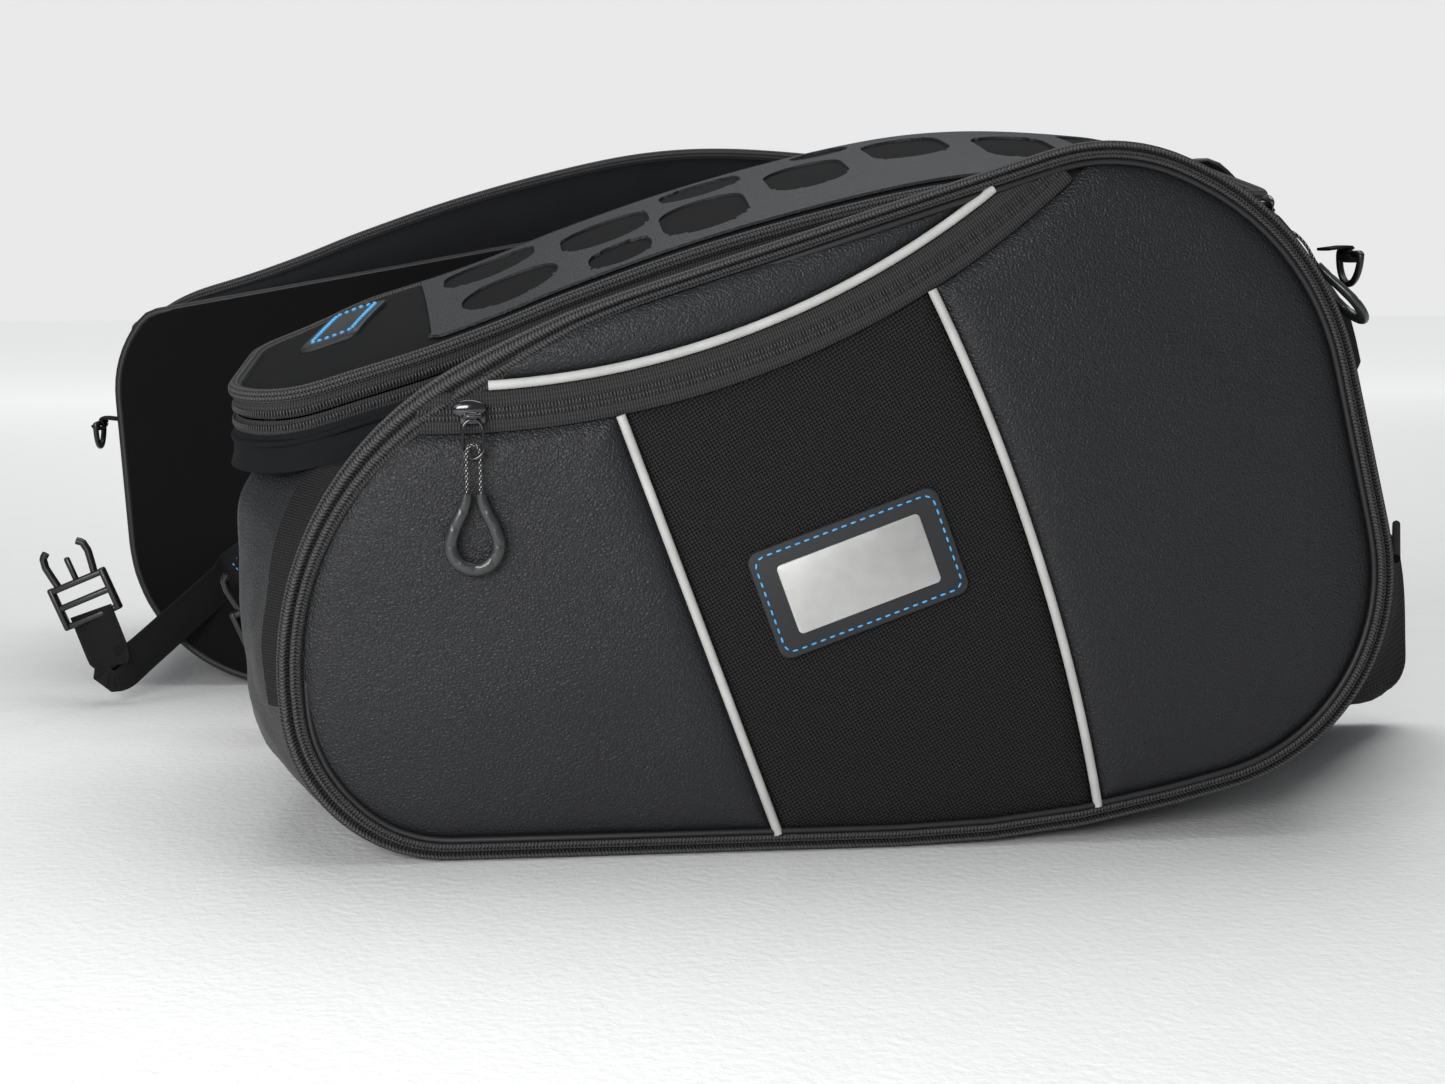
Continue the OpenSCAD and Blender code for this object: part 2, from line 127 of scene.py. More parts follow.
class Finish:
    def __init__(self, name, colour, rough, metal=0.0, coat=0.0, sheen=0.0, spec=0.5):
        self.mat = bpy.data.materials.new(name)
        self.mat.use_nodes = True
        self.tree = self.mat.node_tree
        self.tree.nodes.clear()
        self.out = self.tree.nodes.new("ShaderNodeOutputMaterial")
        self.skin = self.tree.nodes.new("ShaderNodeBsdfPrincipled")
        self.tree.links.new(self.skin.outputs[0], self.out.inputs[0])
        self.set(Base_Color=(*colour, 1), Roughness=rough, Metallic=metal, Coat_Weight=coat,
                 Sheen_Weight=sheen, Sheen_Roughness=0.5, Specular_IOR_Level=spec)
        self.mat.diffuse_color = (*colour, 1)

    def set(self, **values):
        for key, value in values.items():
            self.plug(self.skin.inputs[key.replace("_", " ")], value)

    def plug(self, slot, value):
        if isinstance(value, Wire):
            self.tree.links.new(value.socket, slot)
        else:
            slot.default_value = value

    def node(self, kind, settings=None, out=0, **values):
        n = self.tree.nodes.new("ShaderNode" + kind)
        for key, value in (settings or {}).items():
            setattr(n, key, value)
        for key, value in values.items():
            self.plug(n.inputs[key.replace("_", " ")], value)
        return Wire(self.tree, n.outputs[out])

    def where(self):
        return self.node("TexCoord", out=3)

    def onCloth(self):  # the piece's own uv map, in millimetres
        return self.node("TexCoord", out=2)

    def split(self, vector):
        n = self.tree.nodes.new("ShaderNodeSeparateXYZ")
        self.tree.links.new(vector.socket, n.inputs[0])
        return [Wire(self.tree, o) for o in n.outputs]

    def cloud(self, scale, detail=3, rough=0.5, vector=None):
        at = vector or self.where()
        return self.node("TexNoise", Vector=at, Scale=scale, Detail=detail, Roughness=rough)

    def blendColours(self, mask, a, b):
        n = self.tree.nodes.new("ShaderNodeMix")
        n.data_type = "RGBA"
        self.plug(n.inputs[0], mask)
        self.plug(n.inputs[6], a if isinstance(a, Wire) else (*a, 1))
        self.plug(n.inputs[7], b if isinstance(b, Wire) else (*b, 1))
        return Wire(self.tree, n.outputs[2])

    def bump(self, height, depth, strength=1.0):
        self.set(Normal=self.node("Bump", Height=height, Distance=depth, Strength=strength))


finishes = {}


def leatherLook(name, base, rough):
    f = Finish(name, base, rough, spec=0.3)
    grain = f.node("TexVoronoi", {"feature": "SMOOTH_F1"}, Vector=f.where(), Scale=1100, Smoothness=0.6)
    creases = f.node("TexVoronoi", {"feature": "DISTANCE_TO_EDGE"}, Vector=f.where(), Scale=640)
    soft = f.cloud(240, 3)
    broad = f.cloud(7, 2)
    f.bump(grain * -0.9 + (creases ** 0.5) * 0.8 + soft * 0.1, 0.0004, 0.7)
    shade = soft * 0.25 + broad * 0.5 + creases * 0.2
    f.set(Base_Color=f.blendColours(shade, [c * 0.8 for c in base], [c * 1.22 for c in base]),
          Roughness=rough - 0.05 + creases * 0.16 + broad * 0.08)
    finishes[name] = f.mat


def wovenCloth(name, dark, light, pitch, turn=0.0, rough=0.8, depth=0.0003):
    f = Finish(name, light, rough, spec=0.12)
    x, _, z = f.split(f.where())
    c, s, k = math.cos(turn), math.sin(turn), 1000 / pitch
    wobble = f.cloud(150, 2) * 0.5
    u, v = (x * c + z * s) * k + wobble, (z * c - x * s) * k + wobble
    pick = ((u.floor() + v.floor()) % 2) > 0.5
    rib = (u * pi).sin().abs() * pick + (v * pi).sin().abs() * (1 - pick)
    fuzz = f.cloud(1500, 2)
    height = rib * 0.8 + fuzz * 0.3
    f.bump(height, depth, 0.9)
    f.set(Base_Color=f.blendColours((height * 0.95) ** 2, dark, light), Roughness=rough + fuzz * 0.1)
    finishes[name] = f.mat


def softCloth(name, base, rough=0.85, scale=900, depth=0.00025, wear=0.35):
    f = Finish(name, base, rough, spec=0.12)
    threads = f.cloud(scale, 4, 0.7)
    patches = f.cloud(22, 4)
    f.bump(threads + patches * 0.6, depth, 0.8)
    dark, light = [c * 0.55 for c in base], [c * 1.6 for c in base]
    f.set(Base_Color=f.blendColours(threads * 0.6 + patches * wear, dark, light),
          Roughness=rough - 0.08 + patches * 0.16)
    finishes[name] = f.mat


def knitCloth(name, dark, light, pitch=0.95, rough=0.85):  # rows of stitches along the piece
    f = Finish(name, light, rough, sheen=0.02, spec=0.2)
    u, v, _ = f.split(f.onCloth())
    wobble = f.cloud(420, 3) * 1.1
    lean = ((v / pitch) % 1 - 0.5).abs() * 1.2
    stitch = ((u / pitch + lean + wobble) * pi).sin().abs()
    row = ((v / pitch) * pi).sin().abs()
    fleck = f.cloud(2600, 2, 0.7)
    height = stitch * 0.5 + row * 0.4 + fleck * 0.6
    f.bump(height, 0.0006, 0.9)
    f.set(Base_Color=f.blendColours(((height - 0.42) * 1.25) ** 1.6, dark, light),
          Roughness=rough + fleck * 0.08)
    finishes[name] = f.mat


# straight ribs, for tapes and webbing
def ribbedCloth(name, dark, light, pitch, rough=0.75, depth=0.0003):
    f = Finish(name, light, rough, spec=0.2)
    u, v, _ = f.split(f.onCloth())
    ribs = ((u / pitch) * pi).sin().abs()
    cross = ((v / (pitch * 1.7)) * pi).sin().abs()
    fleck = f.cloud(1800, 2, 0.7)
    height = ribs * 0.6 + cross * 0.25 + fleck * 0.35
    f.bump(height, depth, 0.9)
    f.set(Base_Color=f.blendColours(height * 0.85, dark, light), Roughness=rough + fleck * 0.1)
    finishes[name] = f.mat


def plainSkin(name, base, rough, metal=0.0, coat=0.0, mottle=0.25, depth=0.00006, scale=500):
    f = Finish(name, base, rough, metal, coat)
    fine, broad = f.cloud(scale, 3), f.cloud(30, 3)
    f.bump(fine, depth, 0.6)
    dark, light = [c * (1 - mottle) for c in base], [min(1, c * (1 + mottle)) for c in base]
    f.set(Base_Color=f.blendColours(broad, dark, light),
          Roughness=rough - 0.06 + fine * 0.08 + broad * 0.06)
    finishes[name] = f.mat


leatherLook("leather_look", (0.0160, 0.0165, 0.0180), 0.40)
leatherLook("overlay_skin", (0.022, 0.0235, 0.026), 0.5)
wovenCloth("ballistic_nylon", (0.0006, 0.0006, 0.0006), (0.040, 0.040, 0.042), 1.36, turn=0.55,
           depth=0.0008)
softCloth("woven_nylon", (0.0045, 0.0045, 0.005))
softCloth("lid_fabric", (0.0062, 0.0064, 0.007), scale=1300)
softCloth("collar_fabric", (0.009, 0.0094, 0.0104), wear=0.6)
wovenCloth("mesh_fabric", (0.001, 0.001, 0.001), (0.022, 0.022, 0.023), 2.2, turn=0.78, depth=0.0008)
knitCloth("ribbed_roll", (0.0014, 0.0014, 0.0015), (0.11, 0.11, 0.112), 1.4)
ribbedCloth("rib_knit", (0.002, 0.002, 0.002), (0.026, 0.026, 0.027), 1.25, depth=0.0006)
ribbedCloth("zip_tape", (0.002, 0.002, 0.002), (0.060, 0.059, 0.060), 1.1, depth=0.0006)
ribbedCloth("webbing", (0.002, 0.002, 0.002), (0.014, 0.014, 0.015), 1.1)
plainSkin("zip_coil", (0.022, 0.022, 0.023), 0.4)
plainSkin("edge_piping", (0.010, 0.010, 0.011), 0.5)
plainSkin("badge_rubber", (0.015, 0.0165, 0.019), 0.6, depth=0.00012)
plainSkin("moulded_plastic", (0.006, 0.006, 0.0065), 0.36, coat=0.1)
plainSkin("grip_rubber", (0.022, 0.023, 0.024), 0.34, coat=0.35, depth=0.00008)
plainSkin("black_metal", (0.055, 0.055, 0.058), 0.15, metal=0.9, coat=0.6, scale=200)
plainSkin("blue_thread", (0.08, 0.42, 0.90), 0.5, mottle=0.3, depth=0.0002, scale=2500)
plainSkin("liner_board", (0.020, 0.020, 0.022), 0.6)
plainSkin("thread", (0.020, 0.020, 0.021), 0.6, depth=0.0001, scale=2500)


def reflectivePiping():
    f = Finish("reflective_piping", (0.50, 0.50, 0.48), 0.42)
    u, _, _ = f.split(f.onCloth())
    smudge = f.cloud(70, 4)
    ribs = ((u / 0.5) * pi).sin().abs()
    f.bump(ribs * 0.3 + smudge, 0.00012, 0.5)
    f.set(Base_Color=f.blendColours(smudge, (0.38, 0.38, 0.365), (0.64, 0.64, 0.62)),
          Roughness=0.34 + smudge * 0.2)
    finishes["reflective_piping"] = f.mat


def brushedPlate():
    f = Finish("badge_plate", (0.52, 0.52, 0.51), 0.32, metal=0.9)
    u, v, _ = f.split(f.onCloth())
    stretched = f.node("CombineXYZ", X=u * 0.06, Y=v * 9.0, Z=0.0)
    lines = f.cloud(1.0, 5, 0.7, vector=stretched)
    stains = f.cloud(160, 3)
    f.bump(lines, 0.00004, 0.6)
    f.set(Base_Color=f.blendColours(lines * 0.6 + stains * 0.4, (0.46, 0.46, 0.45), (0.76, 0.76, 0.74)),
          Roughness=0.30 + lines * 0.16 + stains * 0.06)
    finishes["badge_plate"] = f.mat


def fleckedCord():
    f = Finish("pull_cord", (0.05, 0.05, 0.05), 0.7)
    u, v, _ = f.split(f.onCloth())
    turns = (u / 2.1 + v / 4.1) % 1
    other = (u / 2.1 - v / 4.1) % 1
    white = (turns < 0.38) * (other < 0.6)
    strands = ((u / 0.5 + v / 1.2) * pi).sin().abs()
    f.bump(strands, 0.00015, 0.8)
    f.set(Base_Color=f.blendColours(white, (0.010, 0.010, 0.011), (0.62, 0.62, 0.60)))
    finishes["pull_cord"] = f.mat


reflectivePiping()
brushedPlate()
fleckedCord()
print("materials", len(finishes))


# shape helpers
def walk(points):  # a line of points, read by the share of its length
    lengths = [0.0]
    for a, b in zip(points, points[1:]):
        lengths.append(lengths[-1] + (b - a).length)

    def at(share):
        s = min(max(share, 0), 1) * lengths[-1]
        i = min(max(bisect_right(lengths, s) - 1, 0), len(points) - 2)
        step = lengths[i + 1] - lengths[i]
        return points[i].lerp(points[i + 1], (s - lengths[i]) / step if step > 1e-9 else 0)

    at.length = lengths[-1]
    return at


def outline(corners, inset=0.0, step=5):
    points, count = [], len(corners)
    for i in range(count):
        a, p, b = (Vector(corners[(i + k) % count][:2]) for k in (-1, 0, 1))
        r = corners[i][2]
        u, v = (a - p).normalized(), (b - p).normalized()
        half = u.angle(v) / 2
        c = p + (u + v).normalized() * r / math.sin(half)
        s, e = p + u * r / math.tan(half) - c, p + v * r / math.tan(half) - c
        start = math.atan2(s.y, s.x)
        turn = (math.atan2(e.y, e.x) - start + 3 * pi) % (2 * pi) - pi
        steps = max(2, math.ceil(abs(math.degrees(turn)) / step))
        angles = [start + turn * k / steps for k in range(steps + 1)]
        points += [c + (r - inset) * Vector((math.cos(t), math.sin(t))) for t in angles]
    return points


def roundedBox(w, h, r, x=0, y=0):  # corners for outline and ring
    left, right, low, high = x - w / 2, x + w / 2, y - h / 2, y + h / 2
    return [(left, low, r), (right, low, r), (right, high, r), (left, high, r)]


def ring(corners, inset=0.0):
    points = outline(corners, inset)
    return walk(points + [points[0]])


def crossings(line, test, count=3000):
    found, last = [], test(line(0))
    for k in range(1, count + 1):
        now = test(line(k / count))
        if (now > 0) != (last > 0):
            found.append((k - 1 + last / (last - now)) / count)
        last = now
    return found


# a stretch of a closed line, from share a to share b, either way round
def part(line, a, b, count=80):
    return walk([line((a + (b - a) * k / count) % 1) for k in range(count + 1)])


def grid(across, along, put, uv=(1, 1)):  # a create_grid laid on a surface, seams welded
    bm = bmesh.new()
    layer = bm.loops.layers.uv.new("UVMap")
    bmesh.ops.create_grid(bm, x_segments=across, y_segments=along, size=0.5)
    for face in bm.faces:
        for loop in face.loops:
            loop[layer].uv = ((loop.vert.co.x + 0.5) * uv[0], (loop.vert.co.y + 0.5) * uv[1])
    for v in bm.verts:
        v.co = put(v.co.x + 0.5, v.co.y + 0.5)
    bmesh.ops.remove_doubles(bm, verts=bm.verts, dist=0.002)
    return bm


def closeEnds(bm):
    edges = [e for e in bm.edges if e.is_boundary]
    if edges:
        bmesh.ops.holes_fill(bm, edges=edges, sides=0)
    bmesh.ops.recalc_face_normals(bm, faces=bm.faces)
    return bm


def giveThickness(bm, thick):
    bmesh.ops.recalc_face_normals(bm, faces=bm.faces)
    bmesh.ops.solidify(bm, geom=bm.faces[:], thickness=thick)
    bmesh.ops.recalc_face_normals(bm, faces=bm.faces)
    return bm


def thicken(bm, by):  # closes a sheet into a thin shell, moved straight or along its own normals
    everything = bm.verts[:] + bm.edges[:] + bm.faces[:]
    made = bmesh.ops.extrude_face_region(bm, geom=everything, use_keep_orig=True)
    for v in made["geom"]:
        if isinstance(v, bmesh.types.BMVert):
            v.co += Vector(by) if isinstance(by, tuple) else v.normal * -by
    bmesh.ops.recalc_face_normals(bm, faces=bm.faces)
    return bm


def settle(bm, where):  # moves a finished shape to its place
    for v in bm.verts:
        v.co = where(v.co)
    bmesh.ops.recalc_face_normals(bm, faces=bm.faces)
    return bm


def sweep(line, section, count, around, closed=False, side=Vector((0, -1, 0))):
    def put(u, v):
        e = 0.5 / count
        if closed:
            t = line((u + e) % 1) - line((u - e) % 1)
            p = line(u % 1)
        else:
            t = line(min(u + e, 1)) - line(max(u - e, 0))
            p = line(u)
        t = t.normalized()
        b = (side - t * side.dot(t)).normalized()
        a = t.cross(b)
        x, y = section(u, v % 1)
        return p + a * x + b * y

    return closeEnds(grid(count, around, put, (line.length, 4 * pi)))


def roundSection(r):
    return lambda u, v: (r * math.cos(2 * pi * v), r * math.sin(2 * pi * v))


def strapSection(width, thick):
    def at(u, v):
        c, s = math.cos(2 * pi * v), math.sin(2 * pi * v)
        return (width / 2 * math.copysign(abs(c) ** 0.3, c), thick / 2 * math.copysign(abs(s) ** 0.5, s))
    return at


def joinTo(bm, other):
    mesh = bpy.data.meshes.new("tmp")
    other.to_mesh(mesh)
    bm.from_mesh(mesh)
    bpy.data.meshes.remove(mesh)
    other.free()
    return bm


def block(bm, size, at, bevel=0.0, segments=2):
    new = bmesh.ops.create_cube(bm, size=1)["verts"]
    bmesh.ops.scale(bm, vec=size, verts=new)
    if bevel:
        edges = list({e for v in new for e in v.link_edges})
        made = bmesh.ops.bevel(bm, geom=edges, offset=bevel, segments=segments, profile=0.5,
                               affect="EDGES", material=-1)
        new = list({v for f in made["faces"] for v in f.verts} | {v for v in new if v.is_valid})
    bmesh.ops.translate(bm, vec=at, verts=new)


def make(bm, name, body, mats, stands=(), sharp=50, only=sides):
    pieces = {}
    for side in only:
        copy = bm.copy()
        for v in copy.verts:
            v.co = place(v.co, side)
        if side == "left":
            bmesh.ops.reverse_faces(copy, faces=copy.faces)
        for face in copy.faces:
            face.smooth = True
        mesh = bpy.data.meshes.new(f"{name}_{side}")
        copy.to_mesh(mesh)
        copy.free()
        mesh.set_sharp_from_angle(angle=math.radians(sharp))
        for m in mats:
            mesh.materials.append(finishes[m])
        piece = bpy.data.objects.new(f"{name}_{side}", mesh)
        bpy.context.collection.objects.link(piece)
        if stands:
            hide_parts(*[f"{side}_{node}" for node in stands])
        if body:
            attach(piece, f"{side}_{body}")
        pieces[side] = piece
    bm.free()
    return pieces


def ripple(x, y, z, scale, seed=0.0):
    return noise.noise(Vector((x / scale + seed, y / scale, z / scale)))


# the pull cords
pull = {"cordWidth": 1.3, "lidLean": 43, "gripBend": 9.2, "gripLow": -50, "ringBend": 3.9}
loopRoute = [
    (-2.6, 0, -30.5), (-2.6, -0.2, -28), (-2.6, -0.8, -25), (-2.6, -1.4, -22), (-2.6, -1.7, -19),
    (-2.6, -1.6, -16), (-2.5, -1.2, -13.6), (-1.9, -0.7, -11.9), (-1, -0.3, -11.1), (0, 0, -10.9),
    (1, 0.3, -11.1), (1.9, 0.7, -11.9), (2.5, 1.2, -13.6), (2.6, 1.6, -16), (2.6, 1.7, -19),
    (2.6, 1.4, -22), (2.6, 0.8, -25), (2.6, 0.2, -28), (2.6, 0, -30.5)]
sliderTurn = math.radians(2.4)
pocketPivot = Vector((-157 + 361 * math.sin(sliderTurn), -7.6, 538 - 361 * math.cos(sliderTurn)))
lidPivot = Vector((177, 15.6, 255.4))


def onPocket(p):
    return pocketPivot + Vector(p)


def onLidPull(p):  # turned to hang over the high end, as the design does
    q = Matrix.Rotation(math.radians(-pull["lidLean"]), 3, "Y") @ (Matrix.Rotation(pi / 2, 3, "Z") @ Vector(p))
    return lidPivot + q


def halfTurn(start):  # sixteen angles
    return [math.radians(start + 12 * k) for k in range(16)]


def gripPiece(where):  # a moulded loop with a row of dimples
    r, low = pull["gripBend"], pull["gripLow"]
    legs = [(-2.7, 0, -29.8), (-3.0, 0, -32.5), (-4.6, 0, -37), (-7.4, 0, -42.5), (-9.1, 0, -47.5)]
    bend = [(r * math.cos(a), 0, low + r * math.sin(a)) for a in halfTurn(180)]
    line = walk([Vector(p) for p in legs + bend + [(-x, y, z) for x, y, z in reversed(legs)]])
    bm = sweep(line, lambda u, v: ((2.05 + 0.7 * math.sin(pi * u) ** 0.6) * math.cos(2 * pi * v),
                                   (1.65 + 0.3 * math.sin(pi * u) ** 0.6) * math.sin(2 * pi * v)), 72, 16)
    pits = [0.09, 0.19, 0.29, 0.39, 0.5, 0.61, 0.71, 0.81, 0.91]
    for share in pits:
        spot = line(share) + Vector((0, -1.7, 0))
        for v in bm.verts:
            d = (v.co - spot).length
            if d < 1.2:
                v.co.y += 0.55 * (1 - (d / 1.2) ** 2)
    return settle(bm, where)


def ringPiece(where):  # bent wire, one end round the slider's bar
    w = pull["ringBend"]
    pts = [Vector((w * math.cos(a), 0, -5.7 + w * math.sin(a) * 1.1)) for a in halfTurn(0)]
    pts += [Vector((w * math.cos(a), 0, -12.5 + w * math.sin(a))) for a in halfTurn(180)]
    line = walk(pts + [pts[0]])
    bm = sweep(line, roundSection(0.75), 72, 10, closed=True)
    joinTo(bm, sweep(walk([Vector((-1.6, 0, 0)), Vector((1.6, 0, 0))]), roundSection(1.75), 4, 20))
    return settle(bm, where)


for kind, where, body, gripNode in (("pocket", onPocket, "pocket_pull", "pocket_pull_grip"),
                                    ("lid", onLidPull, "lid_pull", "lid_pull")):
    route = walk([where(p) for p in loopRoute])
    flat = where((0, 1, 0)) - where((0, 0, 0))
    cords = make(sweep(route, roundSection(pull["cordWidth"] / 2), 60, 10, side=flat),
                 kind + "PullCord", body, ["pull_cord"], stands=[kind + "_pull_cord"])
    grips = make(gripPiece(where), kind + "PullGrip", body, ["grip_rubber"], stands=[gripNode])
    make(ringPiece(where), kind + "PullRing", body, ["black_metal"],
         stands=["pocket_pull_ring"] if kind == "pocket" else ())
    for side in sides:
        points = [place(route(k / 60), side) for k in range(61)]
print("cords", round(route.length, 1))

# outer face
face = {"rollWidth": 7, "crown": 5, "pipe": 3.6, "zipRadius": 361, "zipCentre": Vector((-157, 538)),
        "seamBow": 7.5, "panelBack": 8}
faceCorners = [(-212, 0, 66), (84, 0, 470), (248, 41, 88), (227, 131, 178), (196, 250, 118), (112, 288, 80),
               (-105, 217, 326), (-230, 156, 137)]
lowSeam = (Vector((-85.4, 177)), Vector((-22, 5)))
highSeam = (Vector((35.7, 225)), Vector((110, 9)))


def frontY(x, z):
    a = 1400 - math.sqrt(1400 ** 2 - (z - 140) ** 2)
    b = 3450 - math.sqrt(3450 ** 2 - (x - 5) ** 2)
    return -face["crown"] + (a ** 3 + b ** 3) ** (1 / 3)


def onFace(p, proud=0.0):
    return Vector((p.x, frontY(p.x, p.y) - proud, p.y))


zc = face["zipCentre"]


def zipArc(radius, a, b):  # between two points, each carried to that radius
    f0, f1 = (math.atan2(p.x - zc.x, zc.y - p.y) for p in (a, b))
    angles = [f0 + (f1 - f0) * k / 90 for k in range(91)]
    return walk([zc + radius * Vector((math.sin(t), -math.cos(t))) for t in angles])


def bowLine(p, q, bow, shift=0.0):
    d = (q - p)
    r = d.length ** 2 / (8 * bow) + bow / 2
    n = d.normalized()
    c = (p + q) / 2 + (bow - r) * Vector((-n.y, n.x))
    a0, a1 = math.atan2(p.y - c.y, p.x - c.x), math.atan2(q.y - c.y, q.x - c.x)
    extra = 0.03 if a1 > a0 else -0.03
    angles = [a0 - extra + (a1 - a0 + 2 * extra) * k / 120 for k in range(121)]
    return walk([c + (r + shift) * Vector((math.cos(t), math.sin(t))) for t in angles])


def trimmed(line, radius, edge):  # from the zip's circle down to the outline
    top = min(crossings(line, lambda p: (p - zc).length - radius), key=lambda t: -line(t).y)
    table = kdtree.KDTree(1200)
    for k in range(1200):
        table.insert((*edge(k / 1200), 0), k)
    table.balance()

    def gap(k):
        p = line(k / 1200)
        return table.find((*p, 0))[2] if p.y < 60 else 99

    foot = min(range(1, 1200), key=gap) / 1200
    return walk([line(top + (foot - top) * k / 80) for k in range(81)])


panelEdge = ring(faceCorners, face["rollWidth"] + 0.3)
below = face["zipRadius"] + 7.3
lensEdge = face["zipRadius"] - 9 - face["pipe"] - 0.3
halfPipe = face["pipe"] / 2 + 0.1
dirLow = (lowSeam[1] - lowSeam[0]).normalized()


def lowLine(shift):
    aside = Vector((shift, 0))
    return walk([lowSeam[0] - dirLow * 20 + aside, lowSeam[1] + dirLow * 12 + aside])


def highLine(shift):
    return bowLine(*highSeam, face["seamBow"], shift)


def nearest(line, p, count=2000):
    return min(range(count), key=lambda k: (line(k / count) - p).length_squared) / count


def patch(bottom, top, left, right):  # a square stretched between four lines
    c00, c10, c01, c11 = bottom(0), bottom(1), top(0), top(1)

    def at(u, v):
        return ((1 - v) * bottom(u) + v * top(u) + (1 - u) * left(v) + u * right(v)
                - ((1 - u) * (1 - v) * c00 + u * (1 - v) * c10 + (1 - u) * v * c01 + u * v * c11))
    return at


def padPanel(name, lines, node, finish, counts, tuck=3.4, reach=4.5, seed=0.0):
    at = patch(*lines)
    edge = kdtree.KDTree(4 * 300)
    for k in range(300):
        for j, line in enumerate(lines):
            edge.insert((*line(k / 299), 0), j * 300 + k)
    edge.balance()

    def put(u, v):
        p = at(0.5 - 0.5 * math.cos(pi * (0.04 + 0.92 * u)) if 0 < u < 1 else u, v)
        d = edge.find((*p, 0))[2]
        sink = tuck * math.exp(-d / reach)
        swell = 0.55 * ripple(p.x, 0, p.y, 38, seed) * min(1, d / 18)
        return onFace(p, -sink - swell + 0.4)

    bm = grid(counts[0], counts[1], put)
    low = len(bm.verts)
    bmesh.ops.recalc_face_normals(bm, faces=bm.faces)
    bmesh.ops.solidify(bm, geom=bm.faces[:], thickness=3)
    bm.verts.ensure_lookup_table()
    for v in bm.verts[low:]:
        v.co.y = face["panelBack"]
    bmesh.ops.recalc_face_normals(bm, faces=bm.faces)
    return make(bm, name, "bag", [finish], stands=[node])


def zipCrossings(radius):  # where that circle meets the panels' outline, low end first
    return sorted(crossings(panelEdge, lambda p: (p - zc).length - radius), key=lambda t: panelEdge(t).x)


leftFoot, rightFoot = [trimmed(lowLine(d), below, panelEdge) for d in (-halfPipe, halfPipe)]
leftBow, rightBow = [trimmed(highLine(d), below, panelEdge) for d in (-halfPipe, halfPipe)]
zipEnds = zipCrossings(below)
cornerLow = min((k / 2000 for k in range(2000)), key=lambda t: panelEdge(t).x + panelEdge(t).y)
cornerHigh = min((k / 2000 for k in range(2000)), key=lambda t: panelEdge(t).y - panelEdge(t).x)


def up(line):
    return lambda t: line(1 - t)


tLeft, tRight = zipEnds[0], zipEnds[-1]
feet = {name: nearest(panelEdge, line(1)) for name, line in
        (("leftFoot", leftFoot), ("rightFoot", rightFoot), ("leftBow", leftBow), ("rightBow", rightBow))}
lowPanel = (part(panelEdge, cornerLow, feet["leftFoot"]), zipArc(below, panelEdge(tLeft), leftFoot(0)),
            part(panelEdge, cornerLow, tLeft - 1 if tLeft > 0.5 else tLeft), up(leftFoot))
centrePanel = (part(panelEdge, feet["rightFoot"], feet["leftBow"]), zipArc(below, rightFoot(0), leftBow(0)),
               up(rightFoot), up(leftBow))
highPanel = (part(panelEdge, feet["rightBow"], cornerHigh), zipArc(below, rightBow(0), panelEdge(tRight)),
             up(rightBow), part(panelEdge, cornerHigh, tRight))
padPanel("panelLow", lowPanel, "panel_low", "leather_look", (70, 80), seed=3)
padPanel("panelCentre", centrePanel, "panel_centre", "ballistic_nylon", (70, 90), seed=8)
padPanel("panelHigh", highPanel, "panel_high", "leather_look", (70, 110), seed=14)
lensEnds = zipCrossings(lensEdge)
la, lb = lensEnds[0], lensEnds[-1]
lensA, lensB = panelEdge(la), panelEdge(lb)
lensPanel = (zipArc(lensEdge, lensA, lensB), part(panelEdge, la, lb if lb < la else lb - 1, 120),
             lambda t: lensA, lambda t: lensB)
padPanel("upperPanel", lensPanel, "upper_panel", "leather_look", (110, 22), tuck=2.4, reach=3, seed=21)

# reflective piping along both seams and under the upper panel
pipeR = 1.9
bandEnds = zipCrossings(lensEdge + 2)
pipes = [trimmed(lowLine(0), below, panelEdge), trimmed(highLine(0), below, panelEdge),
         zipArc(lensEdge + 2.1, panelEdge(bandEnds[0]), panelEdge(bandEnds[-1]))]
bm = None
for line in pipes:
    first = 0.05 if line is pipes[2] else 0
    lifted = walk([onFace(line(first + (1 - first) * k / 120), 0.2) for k in range(121)])
    tube = sweep(lifted, roundSection(pipeR), 120, 14)
    bm = joinTo(bm, tube) if bm else tube
make(bm, "reflectivePiping", "bag", ["reflective_piping"], stands=["reflective_piping"])

# pocket zip: two tapes folded towards the chain, with a row of coil beside each lip
zipR = face["zipRadius"]
zipSpan = zipCrossings(zipR)
zipFrom, zipTo = panelEdge(zipSpan[0]), panelEdge(zipSpan[-1])
zipLine = zipArc(zipR, zipFrom, zipTo)


def tape(inner, outer, lift):
    def put(u, v):
        p = zipLine(u)
        out = (p - zc).normalized()
        r = inner + (outer - inner) * v
        q = zc + out * r
        hump = lift * math.sin(pi * min(1, max(0, v))) ** 0.5
        return onFace(q, hump - 1.2)
    bm = grid(200, 10, put, (zipLine.length, abs(outer - inner)))
    return giveThickness(bm, 1.6)


bm = joinTo(tape(zipR - 8.8, zipR - 0.35, 1.5), tape(zipR + 0.35, zipR + 7.3, 1.5))
joinTo(bm, tape(zipR - 2, zipR + 2, -0.2))
make(bm, "pocketTapes", "bag", ["zip_tape"], stands=["pocket_zip"])


